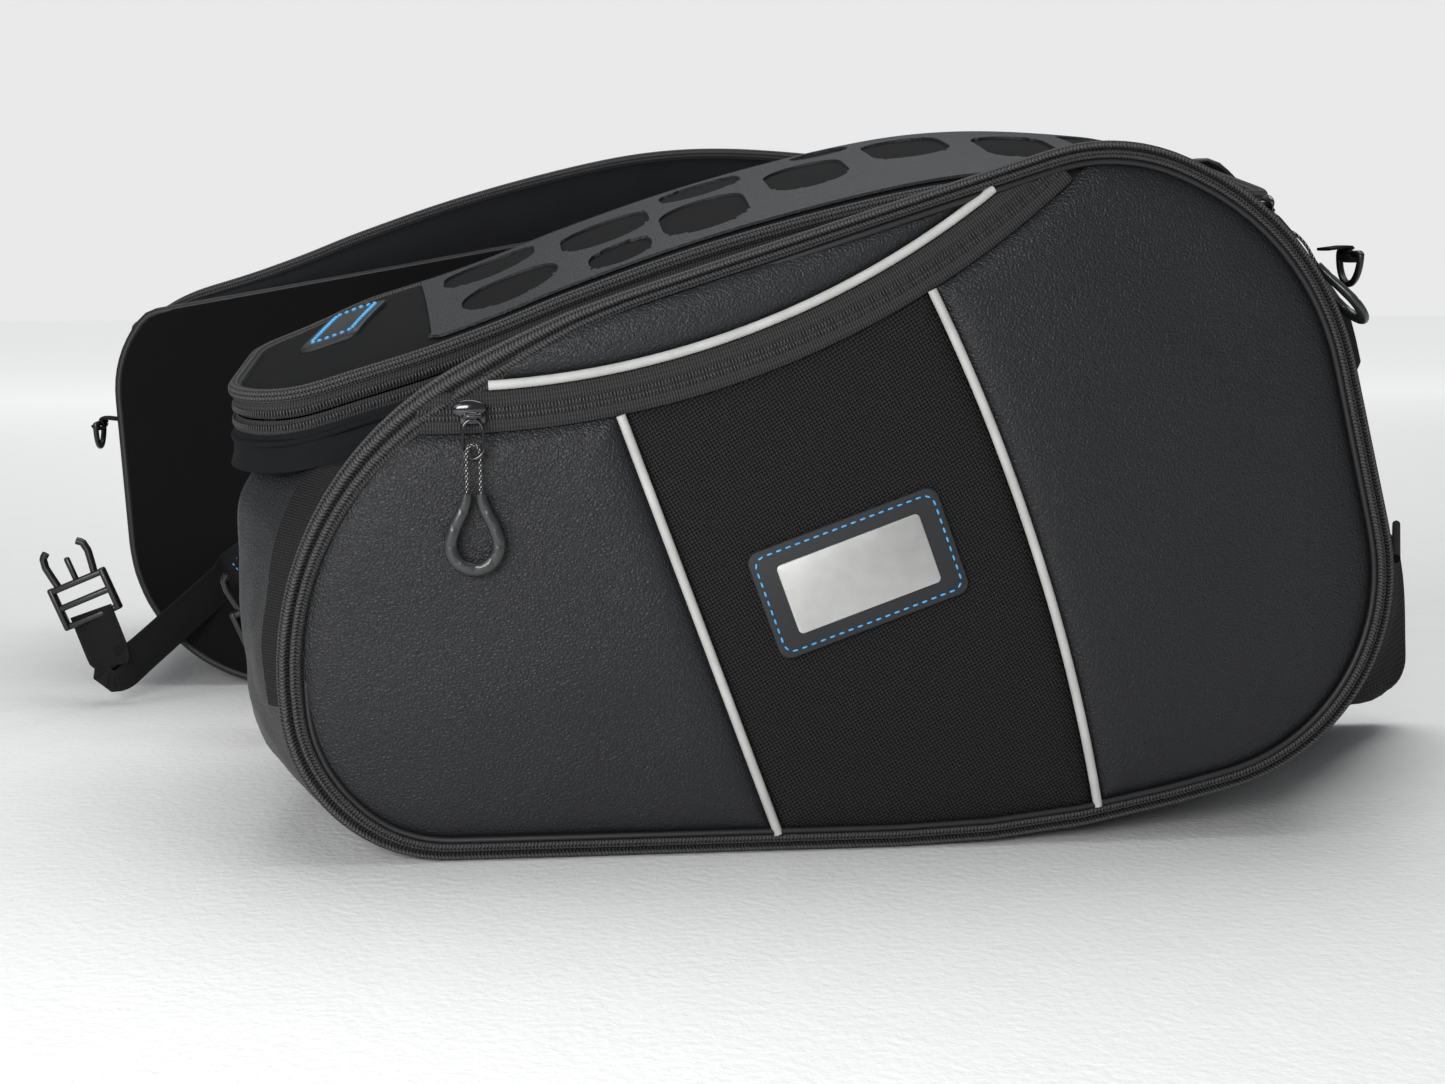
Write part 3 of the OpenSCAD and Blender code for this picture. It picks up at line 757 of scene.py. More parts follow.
def repeated(size, spots, bevel):  # one small bevelled block set down at many places
    one = bmesh.new()
    one.loops.layers.uv.new("UVMap")
    bmesh.ops.create_cube(one, size=1)
    bmesh.ops.bevel(one, geom=one.edges[:], offset=bevel, segments=1, profile=0.5, affect="EDGES",
                    material=-1)
    bmesh.ops.recalc_face_normals(one, faces=one.faces)
    unit = bpy.data.meshes.new("unit")
    one.to_mesh(unit)
    one.free()
    bm, batch = None, None
    for k, (at, turn, long) in enumerate(spots):
        if batch is None:
            batch = bmesh.new()
        before = len(batch.verts)
        batch.from_mesh(unit)
        batch.verts.ensure_lookup_table()
        scale = (long or size[0], size[1], size[2])
        for v in batch.verts[before:]:
            v.co = at + turn @ Vector((v.co.x * scale[0], v.co.y * scale[1], v.co.z * scale[2]))
        if len(batch.verts) > 800:
            bm, batch = (joinTo(bm, batch) if bm else batch), None
    if batch:
        bm = joinTo(bm, batch) if bm else batch
    bpy.data.meshes.remove(unit)
    return bm


def coilRow(line, gap, out, pitch=1.35, size=(0.85, 0.9, 2.1)):
    count, spots = int(line.length / pitch), []
    for k in range(count):
        p, t, o = out((k + 0.5) / count)
        turn = Matrix((t, o.cross(t).normalized(), o)).transposed()
        spots += [(p + o * s * gap, turn, None) for s in ((-1, 1) if gap else (1,))]
    return repeated(size, spots, 0.22)


def zipStep(u):
    p = zipLine(u)
    o = (p - zc).normalized()
    base = onFace(p, 0.35)
    t = (onFace(zipLine(min(1, u + 0.002))) - onFace(zipLine(max(0, u - 0.002)))).normalized()
    return base, t, Vector((o.x, 0, o.y))


make(coilRow(zipLine, 1.3, zipStep), "pocketCoil", "bag", ["zip_coil"])
print("face")

# edge roll: two soft rolls with a sewn groove, wide at the low end, slim at the high end
rollEdge = ring(faceCorners)


def rollWidth(u):
    p = rollEdge(u)
    upper = max(0, min(1, (p.y - 60) / 70))
    shoulder = 7.8 * upper * math.exp(-((p.x + 152) / (40 if p.x > -152 else 55)) ** 2)
    return 7.2 + shoulder + 3.2 / (1 + math.exp((p.x + 190) / 9)) * (1 - 0.6 * upper)


def rollSection(u, v):
    w = rollWidth(u % 1)
    c, s = math.cos(2 * pi * v), math.sin(2 * pi * v)
    x = w / 2 * c
    ellipse = abs(s)
    lobes = math.sqrt(max(0, 1 - ((abs(x) - w / 4) / (w / 4)) ** 2))
    y = 6.6 * (0.42 * ellipse + 0.58 * lobes) if s > 0 else -6.0 * ellipse
    return (x, y)


def rollPath():
    pts = []
    for k in range(360):
        p, q = rollEdge(k / 360), rollEdge(((k + 1) / 360) % 1)
        n = Vector((p.y - q.y, q.x - p.x)).normalized()
        w = rollWidth(k / 360)
        c = p + n * (w / 2 + 0.1)
        pts.append(Vector((c.x, 4.4, c.y)))
    return walk(pts + [pts[0]])


make(sweep(rollPath(), rollSection, 360, 28, closed=True), "edgeRoll", "bag", ["ribbed_roll"],
     stands=["edge_roll"])

pipePts = []
for k in range(300):
    p, q = rollEdge(k / 300), rollEdge(((k + 1) / 300) % 1)
    n = Vector((p.y - q.y, q.x - p.x)).normalized()
    c = p + n * (rollWidth(k / 300) + 1.0)
    sunk = 4.5 / (1 + math.exp((p.x + 20) / 14)) / (1 + math.exp((70 - p.y) / 12))
    pipePts.append(Vector((c.x, frontY(c.x, c.y) - 0.1 + sunk, c.y)))
make(sweep(walk(pipePts + [pipePts[0]]), roundSection(1.35), 300, 12, closed=True), "innerPiping", "bag",
     ["edge_piping"])

# badge: a moulded rubber patch, blue thread and a plain brushed plate
badge = {"at": (7.6, 114), "turn": 20, "size": (80, 45), "plate": (60, 29)}


def badgePlace(x, y, z):
    a = math.radians(badge["turn"])
    return Vector((badge["at"][0] + x * math.cos(a) - z * math.sin(a), y,
                   badge["at"][1] + x * math.sin(a) + z * math.cos(a)))


def slabPiece(w, h, r, front, back, bevel):
    bm = bmesh.new()
    layer = bm.loops.layers.uv.new("UVMap")
    rim = [bm.verts.new((p.x, back, p.y)) for p in outline(roundedBox(w, h, r), 0, 12)]
    bm.faces.new(rim)
    made = bmesh.ops.extrude_face_region(bm, geom=bm.faces[:])
    top = [g for g in made["geom"] if isinstance(g, bmesh.types.BMVert)]
    bmesh.ops.translate(bm, vec=(0, front - back, 0), verts=top)
    if not any(len(f.verts) > 4 and abs(f.calc_center_median().y - back) < 0.01 for f in bm.faces):
        bmesh.ops.holes_fill(bm, edges=[e for e in bm.edges if e.is_boundary], sides=0)
    edges = [e for e in bm.edges if all(abs(v.co.y - front) < 1e-4 for v in e.verts)]
    bmesh.ops.bevel(bm, geom=edges, offset=bevel, segments=3, profile=0.5, affect="EDGES", material=-1)
    for f in bm.faces:
        for loop in f.loops:
            loop[layer].uv = (loop.vert.co.x, loop.vert.co.z)
    return settle(bm, lambda p: badgePlace(*p))


make(slabPiece(*badge["size"], 5, -7.3, -4.6, 0.7), "badgePatch", "bag", ["badge_rubber"], stands=["badge"])
make(slabPiece(*badge["plate"], 2, -8.1, -7.0, 0.35), "badgePlate", "bag", ["badge_plate"])
lineAround = ring(roundedBox(74.8, 39.8, 4))


def stitches(line, pitch, size, put):
    count, spots = int(line.length / pitch), []
    for k in range(count):
        a, b = put(line((k + 0.22) / count)), put(line((k + 0.78) / count))
        t = (b - a).normalized()
        n = Vector((0, -1, 0)) if abs(t.y) < 0.9 else Vector((0, 0, 1))
        n = (n - t * n.dot(t)).normalized()
        o = t.cross(n)
        spots.append(((a + b) / 2, Matrix((t, n, o)).transposed(), (b - a).length))
    return repeated((1, size, size), spots, 0.25)


make(stitches(lineAround, 3.9, 0.75, lambda p: badgePlace(p.x, -7.35, p.y)), "badgeStitching", "bag",
     ["blue_thread"])
print("badge")

# bag body
bulgeCorners = [(-232, 0, 66), (84, 0, 470), (266, 40, 88), (246, 131, 178), (212, 258, 118), (112, 300, 80),
                (-95, 228, 480), (-246, 160, 70)]
backCorners = [(-226, 0, 85), (140, 0, 300), (326, 14, 22), (280, 215, 90), (205, 294, 70), (20, 294, 200),
               (-160, 242, 150), (-236, 196, 60)]
lidCorners = [(-240, 26, 34), (185, 26, 25), (185, 181, 25), (-196, 181, 30), (-236, 120, 40)]
bag = {"centre": Vector((10, 118)), "collar": 20, "sewnAt": 12.3, "bulgeAt": 60, "backAt": 184, "steps": 320}
lid = {"tilt": 0.165, "crown": 5, "hinge": 246.5, "slope": 0.18}
lidLine = [(-260, 166), (-237, 170), (-210, 174.5), (-186, 181.5), (-160, 189.5), (-134, 198.8), (-102, 211.5),
           (-50, 229.5), (6, 245), (50, 254), (90, 257), (136, 255), (185, 249.5), (215, 243)]


def lidArc(x):
    i = min(max(bisect_right(lidLine, (x, 0)) - 1, 0), len(lidLine) - 2)
    (x0, z0), (x1, z1) = lidLine[i:i + 2]
    t = (x - x0) / (x1 - x0)
    slopes = []
    for j in (i, i + 1):
        a, b = lidLine[max(j - 1, 0)], lidLine[min(j + 1, len(lidLine) - 1)]
        slopes.append((b[1] - a[1]) / (b[0] - a[0]) * (x1 - x0))
    return z0 + (z1 - z0) * t * t * (3 - 2 * t) + slopes[0] * t * (1 - t) ** 2 - slopes[1] * t * t * (1 - t)


def lidCrown(x, y):
    along = max(0, min(1, (x + 238) / 45, (184 - x) / 45))
    return lid["crown"] * max(0, 1 - ((y - 103.5) / 77.5) ** 2) * along


def lidZ(x, y):
    return lidArc(x) + lid["tilt"] * (y - 26)


def hingeZ(x, below=0):  # the hinge line rises towards the high end
    return lid["hinge"] - below + lid["slope"] * x


def collarZ(x, y):
    k = (y + 19.5) / 239.5
    return (1 - k) * (lidArc(x) - lid["tilt"] * 45.5) + k * hingeZ(x)


def deckZ(x, y):  # where the body ends and the collar starts
    return collarZ(x, y) - bag["collar"] - 0.6


def reachOf(corners, inset=0.0):  # distance from the middle to the outline, by angle
    pts = outline(corners, inset)
    c, table = bag["centre"], []
    for p in pts:
        table.append((math.atan2(p.y - c.y, p.x - c.x) % (2 * pi), p))
    table.sort(key=lambda t: t[0])
    angles = [t[0] for t in table]

    def at(a):
        a %= 2 * pi
        i = bisect_right(angles, a) % len(table)
        p, q = table[i - 1][1] - c, table[i][1] - c
        d = Vector((math.cos(a), math.sin(a)))
        e = q - p
        den = d.x * e.y - d.y * e.x
        return (p.x * e.y - p.y * e.x) / den if abs(den) > 1e-9 else p.length
    return at


faceReach, bulgeReach, backReach = reachOf(faceCorners, 1.0), reachOf(bulgeCorners), reachOf(backCorners)


def bodyPoint(a, y):
    if y < bag["bulgeAt"]:
        k = max(0, (y - bag["sewnAt"]) / (bag["bulgeAt"] - bag["sewnAt"]))
        r = faceReach(a) * (1 - k) + bulgeReach(a) * k + 2.2 * math.sin(pi * k)
    else:
        k = min(1, (y - bag["bulgeAt"]) / (bag["backAt"] - bag["bulgeAt"]))
        r = bulgeReach(a) * (1 - k) + backReach(a) * k + 1.6 * math.sin(pi * k)
    c = bag["centre"]
    return Vector((c.x + r * math.cos(a), y, c.y + r * math.sin(a)))


bulgeRing = ring(bulgeCorners)
bodyAngles = []
for k in range(bag["steps"] + 1):
    p = bulgeRing(k / bag["steps"]) - bag["centre"]
    a = math.atan2(p.y, p.x)
    while bodyAngles and a < bodyAngles[-1] - 1e-6:
        a += 2 * pi
    bodyAngles.append(a)


def bodyAt(u, y):
    f = u * bag["steps"]
    i = min(int(f), bag["steps"] - 1)
    a = bodyAngles[i] + (bodyAngles[i + 1] - bodyAngles[i]) * (f - i)
    p = bodyPoint(a, y)
    deep = min(1, max(0, (y - 16) / 20)) * min(1, max(0, (182 - y) / 15))
    sag = 2.4 * ripple(p.x, y * 0.35, p.z, 34, 5) + 1.0 * ripple(p.x, y, p.z, 13, 9)
    low = min(1, max(0, p.z / 25))
    out = (p - Vector((bag["centre"].x, y, bag["centre"].y))).normalized()
    p = p + out * sag * deep * low
    p.z = max(p.z, 0.2)
    p.z = min(p.z, deckZ(p.x, y))
    return p


def bodyPiece():
    def put(u, v):
        return bodyAt(u, 10 + 174 * v)
    bm = grid(bag["steps"], 58, put, (bulgeRing.length, 174))
    plan, doomed = outline(lidCorners, 3.2), []
    for f in bm.faces:
        c = f.calc_center_median()
        if c.z > deckZ(c.x, c.y) - 0.5 and insideOf(plan, c.x, c.y):
            doomed.append(f)
    bmesh.ops.delete(bm, geom=doomed, context="FACES")
    bmesh.ops.recalc_face_normals(bm, faces=bm.faces)
    outward = sum(f.normal.dot(f.calc_center_median() - Vector((10, 97, 118))) > 0 for f in bm.faces)
    if outward <= len(bm.faces) / 2:
        bmesh.ops.reverse_faces(bm, faces=bm.faces)
    for f in bm.faces:
        c = f.calc_center_median()
        if c.y < 27 and c.z > 60:
            f.material_index = 2
        elif c.x < -150 + 0.25 * (c.y - 60) and c.z < collarZ(c.x, c.y) - bag["collar"] - 2:
            f.material_index = 1
    bm.normal_update()
    return thicken(bm, 2.0)


def insideOf(points, x, y):
    inside, j = False, len(points) - 1
    for i, p in enumerate(points):
        q = points[j]
        if (p.y > y) != (q.y > y) and x < (q.x - p.x) * (y - p.y) / (q.y - p.y) + p.x:
            inside = not inside
        j = i
    return inside


make(bodyPiece(), "bagBody", "bag", ["woven_nylon", "leather_look", "rib_knit"],
     stands=["gusset_low", "gusset_bottom", "gusset_high"], sharp=70)

# seam round the shoulder, and the fabric collar under the lid
planRing = ring(lidCorners)


def planPoint(u, out=0.0):
    p, q = planRing(u % 1), planRing((u + 0.002) % 1)
    n = Vector((q.y - p.y, p.x - q.x)).normalized()
    return p + n * out


def collarPiece():
    def put(u, v):
        p = planPoint(u)
        top = min(lidZ(p.x, p.y) - 0.4, collarZ(p.x, p.y) - 0.4)
        foot = collarZ(p.x, p.y) - bag["collar"] - 1.2
        z = foot + (top - foot) * v
        creases = 1.5 * ripple(p.x, p.y, z * 3.2, 24, 2) * math.sin(pi * min(1, v * 1.2))
        fold = 1.7 * math.sin(v * pi) + creases + 3.2 * (1 - v) ** 3
        q = planPoint(u, fold - 0.4)
        return Vector((q.x, q.y, z))
    bm = grid(260, 14, put, (planRing.length, 22))
    return giveThickness(bm, 1.6)


make(collarPiece(), "collarWall", "bag", ["collar_fabric"], stands=["collar"])


def planLine(a, b, count, out, rise):
    pts = []
    for k in range(count + 1):
        u = a + (b - a) * k / count
        p = planPoint(u, out)
        pts.append(Vector((p.x, p.y, lidZ(p.x, p.y) + rise)))
    return walk(pts)


# the lid's zip runs from the hinge round the nose, along the front and up the high end
planShare = sorted(crossings(planRing, lambda p: p.y - 168))
backStart, backEnd = planShare[0], planShare[-1]


def bandPiece(low, high, bulge, a, b, count):
    def put(u, v):
        w = a + (b - a) * u
        q = planPoint(w, bulge * math.sin(pi * v) - 0.3)
        return Vector((q.x, q.y, lidZ(q.x, q.y) + low + (high - low) * v))
    bm = grid(count, 8, put, (planRing.length * abs(b - a), abs(high - low)))
    return giveThickness(bm, 1.3)


span = (backEnd - 1, backStart)
make(bandPiece(0.35, 9.0, 1.6, 0, 1, 260), "lidBand", "lid", ["zip_tape"], stands=["lid_band"])
make(bandPiece(-7.5, -0.35, 1.5, span[0], span[1], 240), "lowerTape", "bag", ["zip_tape"])
for name, body, rise in (("upperCoil", "lid", 2.9), ("lowerCoil", "bag", -2.9)):
    chain = planLine(span[0], span[1], 300, 1.35, rise)

    def chainStep(u, chain=chain):
        p = chain(u)
        t = (chain(min(1, u + 0.002)) - chain(max(0, u - 0.002))).normalized()
        up = Vector((0, 0, 1))
        return p, t, (up - t * up.dot(t)).normalized()

    make(coilRow(chain, 0, chainStep, size=(0.8, 0.9, 2.4)), name, body, ["zip_coil"])

# lid top: fabric drawn down to a fat piping at its rim
topEdge = ring(lidCorners, 1.2)
overlay = {"corners": [(-158, 34, 6), (168, 34, 6), (168, 168, 6), (-168, 168, 6)],
           "ovals": [(-136, 128, 40, 56), (-127, 66, 40, 42), (-86, 104, 38, 54), (-82, 53, 26, 30),
                     (-42, 134, 36, 46), (-46, 72, 36, 56), (0, 92, 34, 56), (14, 148, 26, 30),
                     (46, 108, 34, 60), (90, 86, 32, 60), (132, 108, 28, 56)]}


def furthest(a, b):  # the share of the lid's edge that lies least along (a, b)
    return min((k / 2000 for k in range(2000)), key=lambda t: topEdge(t).x * a + topEdge(t).y * b)


c0, c1, c2, c3 = [furthest(*way) for way in ((1, 1), (-1, 1), (-1, -1), (1.2, -1))]


def lidTop():
    covered = [Vector(c[:2]) for c in overlay["corners"]]
    lines = (part(topEdge, c0, c1), part(topEdge, c3, c2 if c2 < c3 else c2 - 1),
             part(topEdge, c0, c3 - 1 if c3 > c0 else c3), part(topEdge, c1, c2))
    at = patch(*lines)
    edge = kdtree.KDTree(1200)
    for k in range(300):
        for j, line in enumerate(lines):
            edge.insert((*line(k / 299), 0), j * 300 + k)
    edge.balance()

    def put(u, v):
        p = at(u, v)
        d = edge.find((*p, 0))[2]
        sink = 3.0 * math.exp(-d / 5)
        under = insideOf(covered, p.x, p.y)
        wave = 0.9 * ripple(p.x, p.y, 0, 40, 4) * min(1, d / 15) * (0.2 if under else 1)
        return Vector((p.x, p.y, lidZ(p.x, p.y) + lidCrown(p.x, p.y) + 11.6 - sink + wave))
    bm = grid(120, 46, put, (430, 155))
    bmesh.ops.recalc_face_normals(bm, faces=bm.faces)
    return thicken(bm, (0, 0, -2.2))


make(lidTop(), "lidTop", "lid", ["lid_fabric"], stands=["lid_shell"])
rimLine = planLine(0, 1, 300, 0.3, 9.6)
make(sweep(rimLine, roundSection(2.9), 300, 14, closed=True, side=Vector((0, 0, 1))), "lidRim", "lid",
     ["ribbed_roll"])
weltLine = planLine(span[0], span[1], 240, 1.0, -9.2)
make(sweep(weltLine, roundSection(1.5), 240, 10, side=Vector((0, 0, 1))), "collarWelt", "bag",
     ["collar_fabric"])


def overlayPiece():  # a sheet with its ovals cut through
    bm = bmesh.new()
    bmesh.ops.create_grid(bm, x_segments=138, y_segments=54, size=0.5)
    for v in bm.verts:
        x = -172 + 344 * (v.co.x + 0.5)
        y = 30 + 140 * (v.co.y + 0.5)
        v.co = Vector((x, y, 0))
    rings = [outline(overlay["corners"], 0, 15)]
    for x, y, w, h in overlay["ovals"]:
        rings.append(outline(roundedBox(w, h, w / 2 - 0.5, x, y), 0, 15))
    for n, points in enumerate(rings):  # vertices near an edge are drawn onto it
        line = walk(points + [points[0]])
        table = kdtree.KDTree(900)
        for k in range(900):
            table.insert((*line(k / 900), 0), k)
        table.balance()
        doomed = []
        for v in bm.verts:
            found = table.find(v.co)
            if found[2] < 1.45:
                v.co = Vector(found[0])
        for f in bm.faces:
            c = f.calc_center_median()
            if insideOf(points, c.x, c.y) != (n == 0):
                doomed.append(f)
        bmesh.ops.delete(bm, geom=doomed, context="FACES")
    bmesh.ops.remove_doubles(bm, verts=bm.verts, dist=0.05)
    for v in bm.verts:
        v.co.z = lidZ(v.co.x, v.co.y) + lidCrown(v.co.x, v.co.y) + 12.9
    bmesh.ops.recalc_face_normals(bm, faces=bm.faces)
    bmesh.ops.dissolve_degenerate(bm, dist=0.02, edges=bm.edges)
    return thicken(bm, (0, 0, -1.2))


make(overlayPiece(), "lidOverlay", "lid", ["overlay_skin"], stands=["lid_overlay"], sharp=35)

# lid label: a rubber patch with a stitched frame, left blank
label = {"at": (-198, 106), "size": (25, 56), "turn": -10}


def labelPlace(x, y, rise):
    a = math.radians(label["turn"])
    px = label["at"][0] + x * math.cos(a) - y * math.sin(a)
    py = label["at"][1] + x * math.sin(a) + y * math.cos(a)
    return Vector((px, py, lidZ(px, py) + lidCrown(px, py) + 11.9 + rise))


def labelPiece():
    edge = ring(roundedBox(*label["size"], 3))

    def put(u, v):
        p = edge(u % 1) * min(1, v * 1.12)
        rise = 1.6 if v < 0.86 else 1.6 - 1.9 * ((v - 0.86) / 0.14) ** 2
        lip = 0.5 * math.exp(-((v - 0.8) / 0.05) ** 2)
        return labelPlace(p.x, p.y, rise + lip)
    bm = grid(64, 16, put, (60, 20))
    return closeEnds(bm)


make(labelPiece(), "lidLabel", "lid", ["badge_rubber"])
frameLine = ring(roundedBox(17.2, 46, 2))
make(stitches(frameLine, 3.2, 1.7, lambda p: labelPlace(p.x, p.y, 1.8)), "labelStitching", "lid",
     ["blue_thread"])
print("lid")


# back, hinge, end pieces
def backPiece():
    reach = reachOf(backCorners, 0.5)

    def put(u, v):
        a = 2 * pi * u
        r = reach(a) * v
        x, z = bag["centre"].x + r * math.cos(a), bag["centre"].y + r * math.sin(a)
        z = min(z, hingeZ(x, 2))
        edge = min(1, (1 - v) / 0.05)
        y = 188.2 + 1.6 * edge ** 0.5 + 0.5 * ripple(x, 0, z, 50, 7) * edge
        return Vector((x, y, max(z, 0.3)))
    bm = grid(200, 40, put, (1500, 150))
    bmesh.ops.dissolve_degenerate(bm, dist=0.02, edges=bm.edges)
    return thicken(bm, (0, -3.6, 0))


make(backPiece(), "backPad", "bag", ["woven_nylon"], stands=["back_panel"])
backPts = []
for p in outline(backCorners, 0.5, 6):
    z = min(p.y, hingeZ(p.x, 2))
    q = Vector((p.x, 187.2, max(z, 2.2)))
    if not backPts or (q - backPts[-1]).length > 2:
        backPts.append(q)
make(sweep(walk(backPts + [backPts[0]]), roundSection(2.2), 260, 10, closed=True), "backPiping", "bag",
     ["edge_piping"])


def hingeCloth():
    def put(u, v):
        x = -196 + 378 * u
        low = Vector((x, 187, hingeZ(x, 3.5)))
        q = min(max(x, -192), 180)
        high = Vector((q, 182, lidZ(q, 181) + 8))
        p = low.lerp(high, v)
        p.y += 3.0 * math.sin(pi * v) + 0.8 * ripple(x, 0, v * 30, 18, 3)
        return p
    bm = grid(140, 10, put, (378, 26))
    return giveThickness(bm, 1.4)


hinges = make(hingeCloth(), "hingeCloth", None, ["collar_fabric"])
for side in sides:
    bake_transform(hinges[side], f"{side}_bag", f"{side}_lid", start=place((0, 187, 244), side),
             end=place((0, 187, 276), side))


def edgeX(corners, z):
    pts = outline(corners)
    best = -999
    for p, q in zip(pts, pts[1:] + pts[:1]):
        if (p.y > z) != (q.y > z):
            best = max(best, p.x + (q.x - p.x) * (z - p.y) / (q.y - p.y))
    return best


def endX(y, z):
    if y < bag["bulgeAt"]:
        k = (y - 12) / (bag["bulgeAt"] - 12)
        return edgeX(faceCorners, z) * (1 - k) + edgeX(bulgeCorners, z) * k
    k = (y - bag["bulgeAt"]) / (bag["backAt"] - bag["bulgeAt"])
    return edgeX(bulgeCorners, z) * (1 - k) + edgeX(backCorners, z) * k


def endPatch(y0, y1, z0, z1, rise, counts, soft=0.12, wavy=0.0):
    def put(u, v):
        y, z = y0 + (y1 - y0) * u, z0 + (z1 - z0) * v
        d = min(u, 1 - u, v, 1 - v) / soft
        up = rise * min(1, max(0, d)) ** 0.5
        wave = wavy * ripple(0, y, z, 26, 1) * min(1, max(0, d))
        return Vector((endX(y, z) + up + wave, y, z))
    bm = grid(*counts, put, (abs(y1 - y0), abs(z1 - z0)))
    bmesh.ops.recalc_face_normals(bm, faces=bm.faces)
    low = len(bm.verts)
    bmesh.ops.solidify(bm, geom=bm.faces[:], thickness=1)
    bm.verts.ensure_lookup_table()
    for v in bm.verts[low:]:
        v.co.x = endX(v.co.y, v.co.z) - 0.5
    bmesh.ops.recalc_face_normals(bm, faces=bm.faces)
    return bm


make(endPatch(70, 178, 16, 104, 9.5, (36, 30), wavy=1.6), "endPocket", "bag", ["mesh_fabric"],
     stands=["end_pocket"])
make(endPatch(50, 110, 104, 188, 4.0, (20, 40)), "endMesh", "bag", ["rib_knit"])
hem = walk([Vector((endX(y, 104) + 9.0, y, 104)) for y in range(70, 179, 4)])
make(sweep(hem, roundSection(2.0), 50, 10, side=Vector((1, 0, 0))), "endPocketHem", "bag", ["webbing"])
make(endPatch(48, 74, 186, 218, 8.0, (16, 20), soft=0.2), "endTab", "bag", ["webbing"], stands=["end_tab"])

# rings in their keepers
ringAt = {"right": Vector((230, 58, 238)), "left": Vector((-246, 181, 146))}
for side in sides:
    c = ringAt[side]
    s = -1 if side == "right" else 1
    turns = [math.radians(-7.5 * k) for k in range(25)]
    hoop = [c + Vector((0, 11 * math.cos(a), 11 * math.sin(a) * 1.15)) for a in turns]
    line = walk(hoop + [hoop[0]])
    make(sweep(line, roundSection(1.5), 72, 12, closed=True, side=Vector((1, 0, 0))), "ringHoop", "d_ring",
         ["moulded_plastic"], stands=["d_ring"], only=(side,))
    keep = [c + Vector((s * 12, 0, 2.0)), c + Vector((s * 4, 0, 3.0))]
    turns = [math.radians(20 * k) for k in range(1, 14)]
    keep += [c + 3.0 * Vector((s * math.sin(a), 0, math.cos(a))) for a in turns]
    make(sweep(walk(keep), strapSection(14, 1.4), 40, 16, side=Vector((0.02, 0, 1))), "ringKeeper", "bag",
         ["webbing"], only=(side,))

# mounting strap and buckle
strap = {"top": Vector((-178, 191.5, 62)), "fold": Vector((-232, 230, 16)), "end": Vector((-246, 228, 50)),
         "width": 25, "thick": 1.8}
top, fold, end = strap["top"], strap["fold"], strap["end"]
flatTop = top + Vector((20, 0, 15))
strapRoute = [flatTop, top.lerp(flatTop, 0.3), top, top.lerp(fold, 0.25), top.lerp(fold, 0.6),
              top.lerp(fold, 0.93), fold + Vector((-4, -0.8, 1.5)), fold.lerp(end, 0.2) + Vector((-1.5, -1.6, 0)),
              end + Vector((0, -1.6, 0))]


def webLine(points, each=10):
    out = []
    for a, b in zip(points, points[1:]):
        out += [a.lerp(b, k / each) for k in range(each)]
    out.append(points[-1])
    for _ in range(14):
        out = [out[0]] + [(a + 2 * b + c) / 4 for a, b, c in zip(out, out[1:], out[2:])] + [out[-1]]
    return walk(out)


def onItsSide(u, v):  # the strap's section, width along the second way
    return tuple(reversed(strapSection(strap["width"], strap["thick"])(u, v)))


make(sweep(webLine(strapRoute), onItsSide, 90, 20, side=Vector((0.25, 0.1, 1))), "mountingStrap", "bag",
     ["webbing"], stands=["mounting_strap"])


def buckleBasis():
    d = (end - fold).normalized()
    turn = Matrix.Rotation(math.atan2(d.x, d.z), 3, "Y") @ Matrix.Rotation(-math.asin(d.y), 3, "X")
    return end + Vector((0, -1.6, 0)) - d, turn


def bucklePiece():
    at, turn = buckleBasis()
    bm = bmesh.new()
    bm.loops.layers.uv.new("UVMap")
    for x in (-14.4, 14.4):
        block(bm, (3.2, 7, 24), (x, 0, 8), 1.2, 3)
    for z in (-2.4, 8, 18):
        block(bm, (29, 6.6 if z > 0 else 5, 3.4), (0, 0, z), 1.2, 3)
    for s in (-1, 1):
        arm = [Vector((s * x, 0, z)) for x, z in ((10, 18), (11, 24), (12, 31), (11.2, 36), (8.6, 38))]
        joinTo(bm, sweep(walk(arm), lambda u, v: (2.0 * math.cos(2 * pi * v), 2.3 * math.sin(2 * pi * v)), 24, 12))
    block(bm, (3, 3, 14), (0, 0, 25), 1.0, 2)
    return settle(bm, lambda p: at + turn @ p)


make(bucklePiece(), "strapBuckle", "buckle", ["moulded_plastic"], stands=["buckle"])
bm = None
boxLine = [(-9, -9), (9, -9), (9, 9), (-9, 9), (-9, -9), (9, 9)], [(9, -9), (-9, 9)]
patchAt = top + Vector((12, 0.9, 9))
patchTurn = math.atan2(15, 20)


def onPatch(p):
    c, s = math.cos(patchTurn), math.sin(patchTurn)
    return patchAt + Vector((p.x * c - p.y * s, 0.5, p.x * s + p.y * c))


for pts in boxLine:
    row = stitches(walk([Vector(p) for p in pts]), 3.0, 0.7, onPatch)
    bm = joinTo(bm, row) if bm else row
make(bm, "strapStitching", "bag", ["blue_thread"])

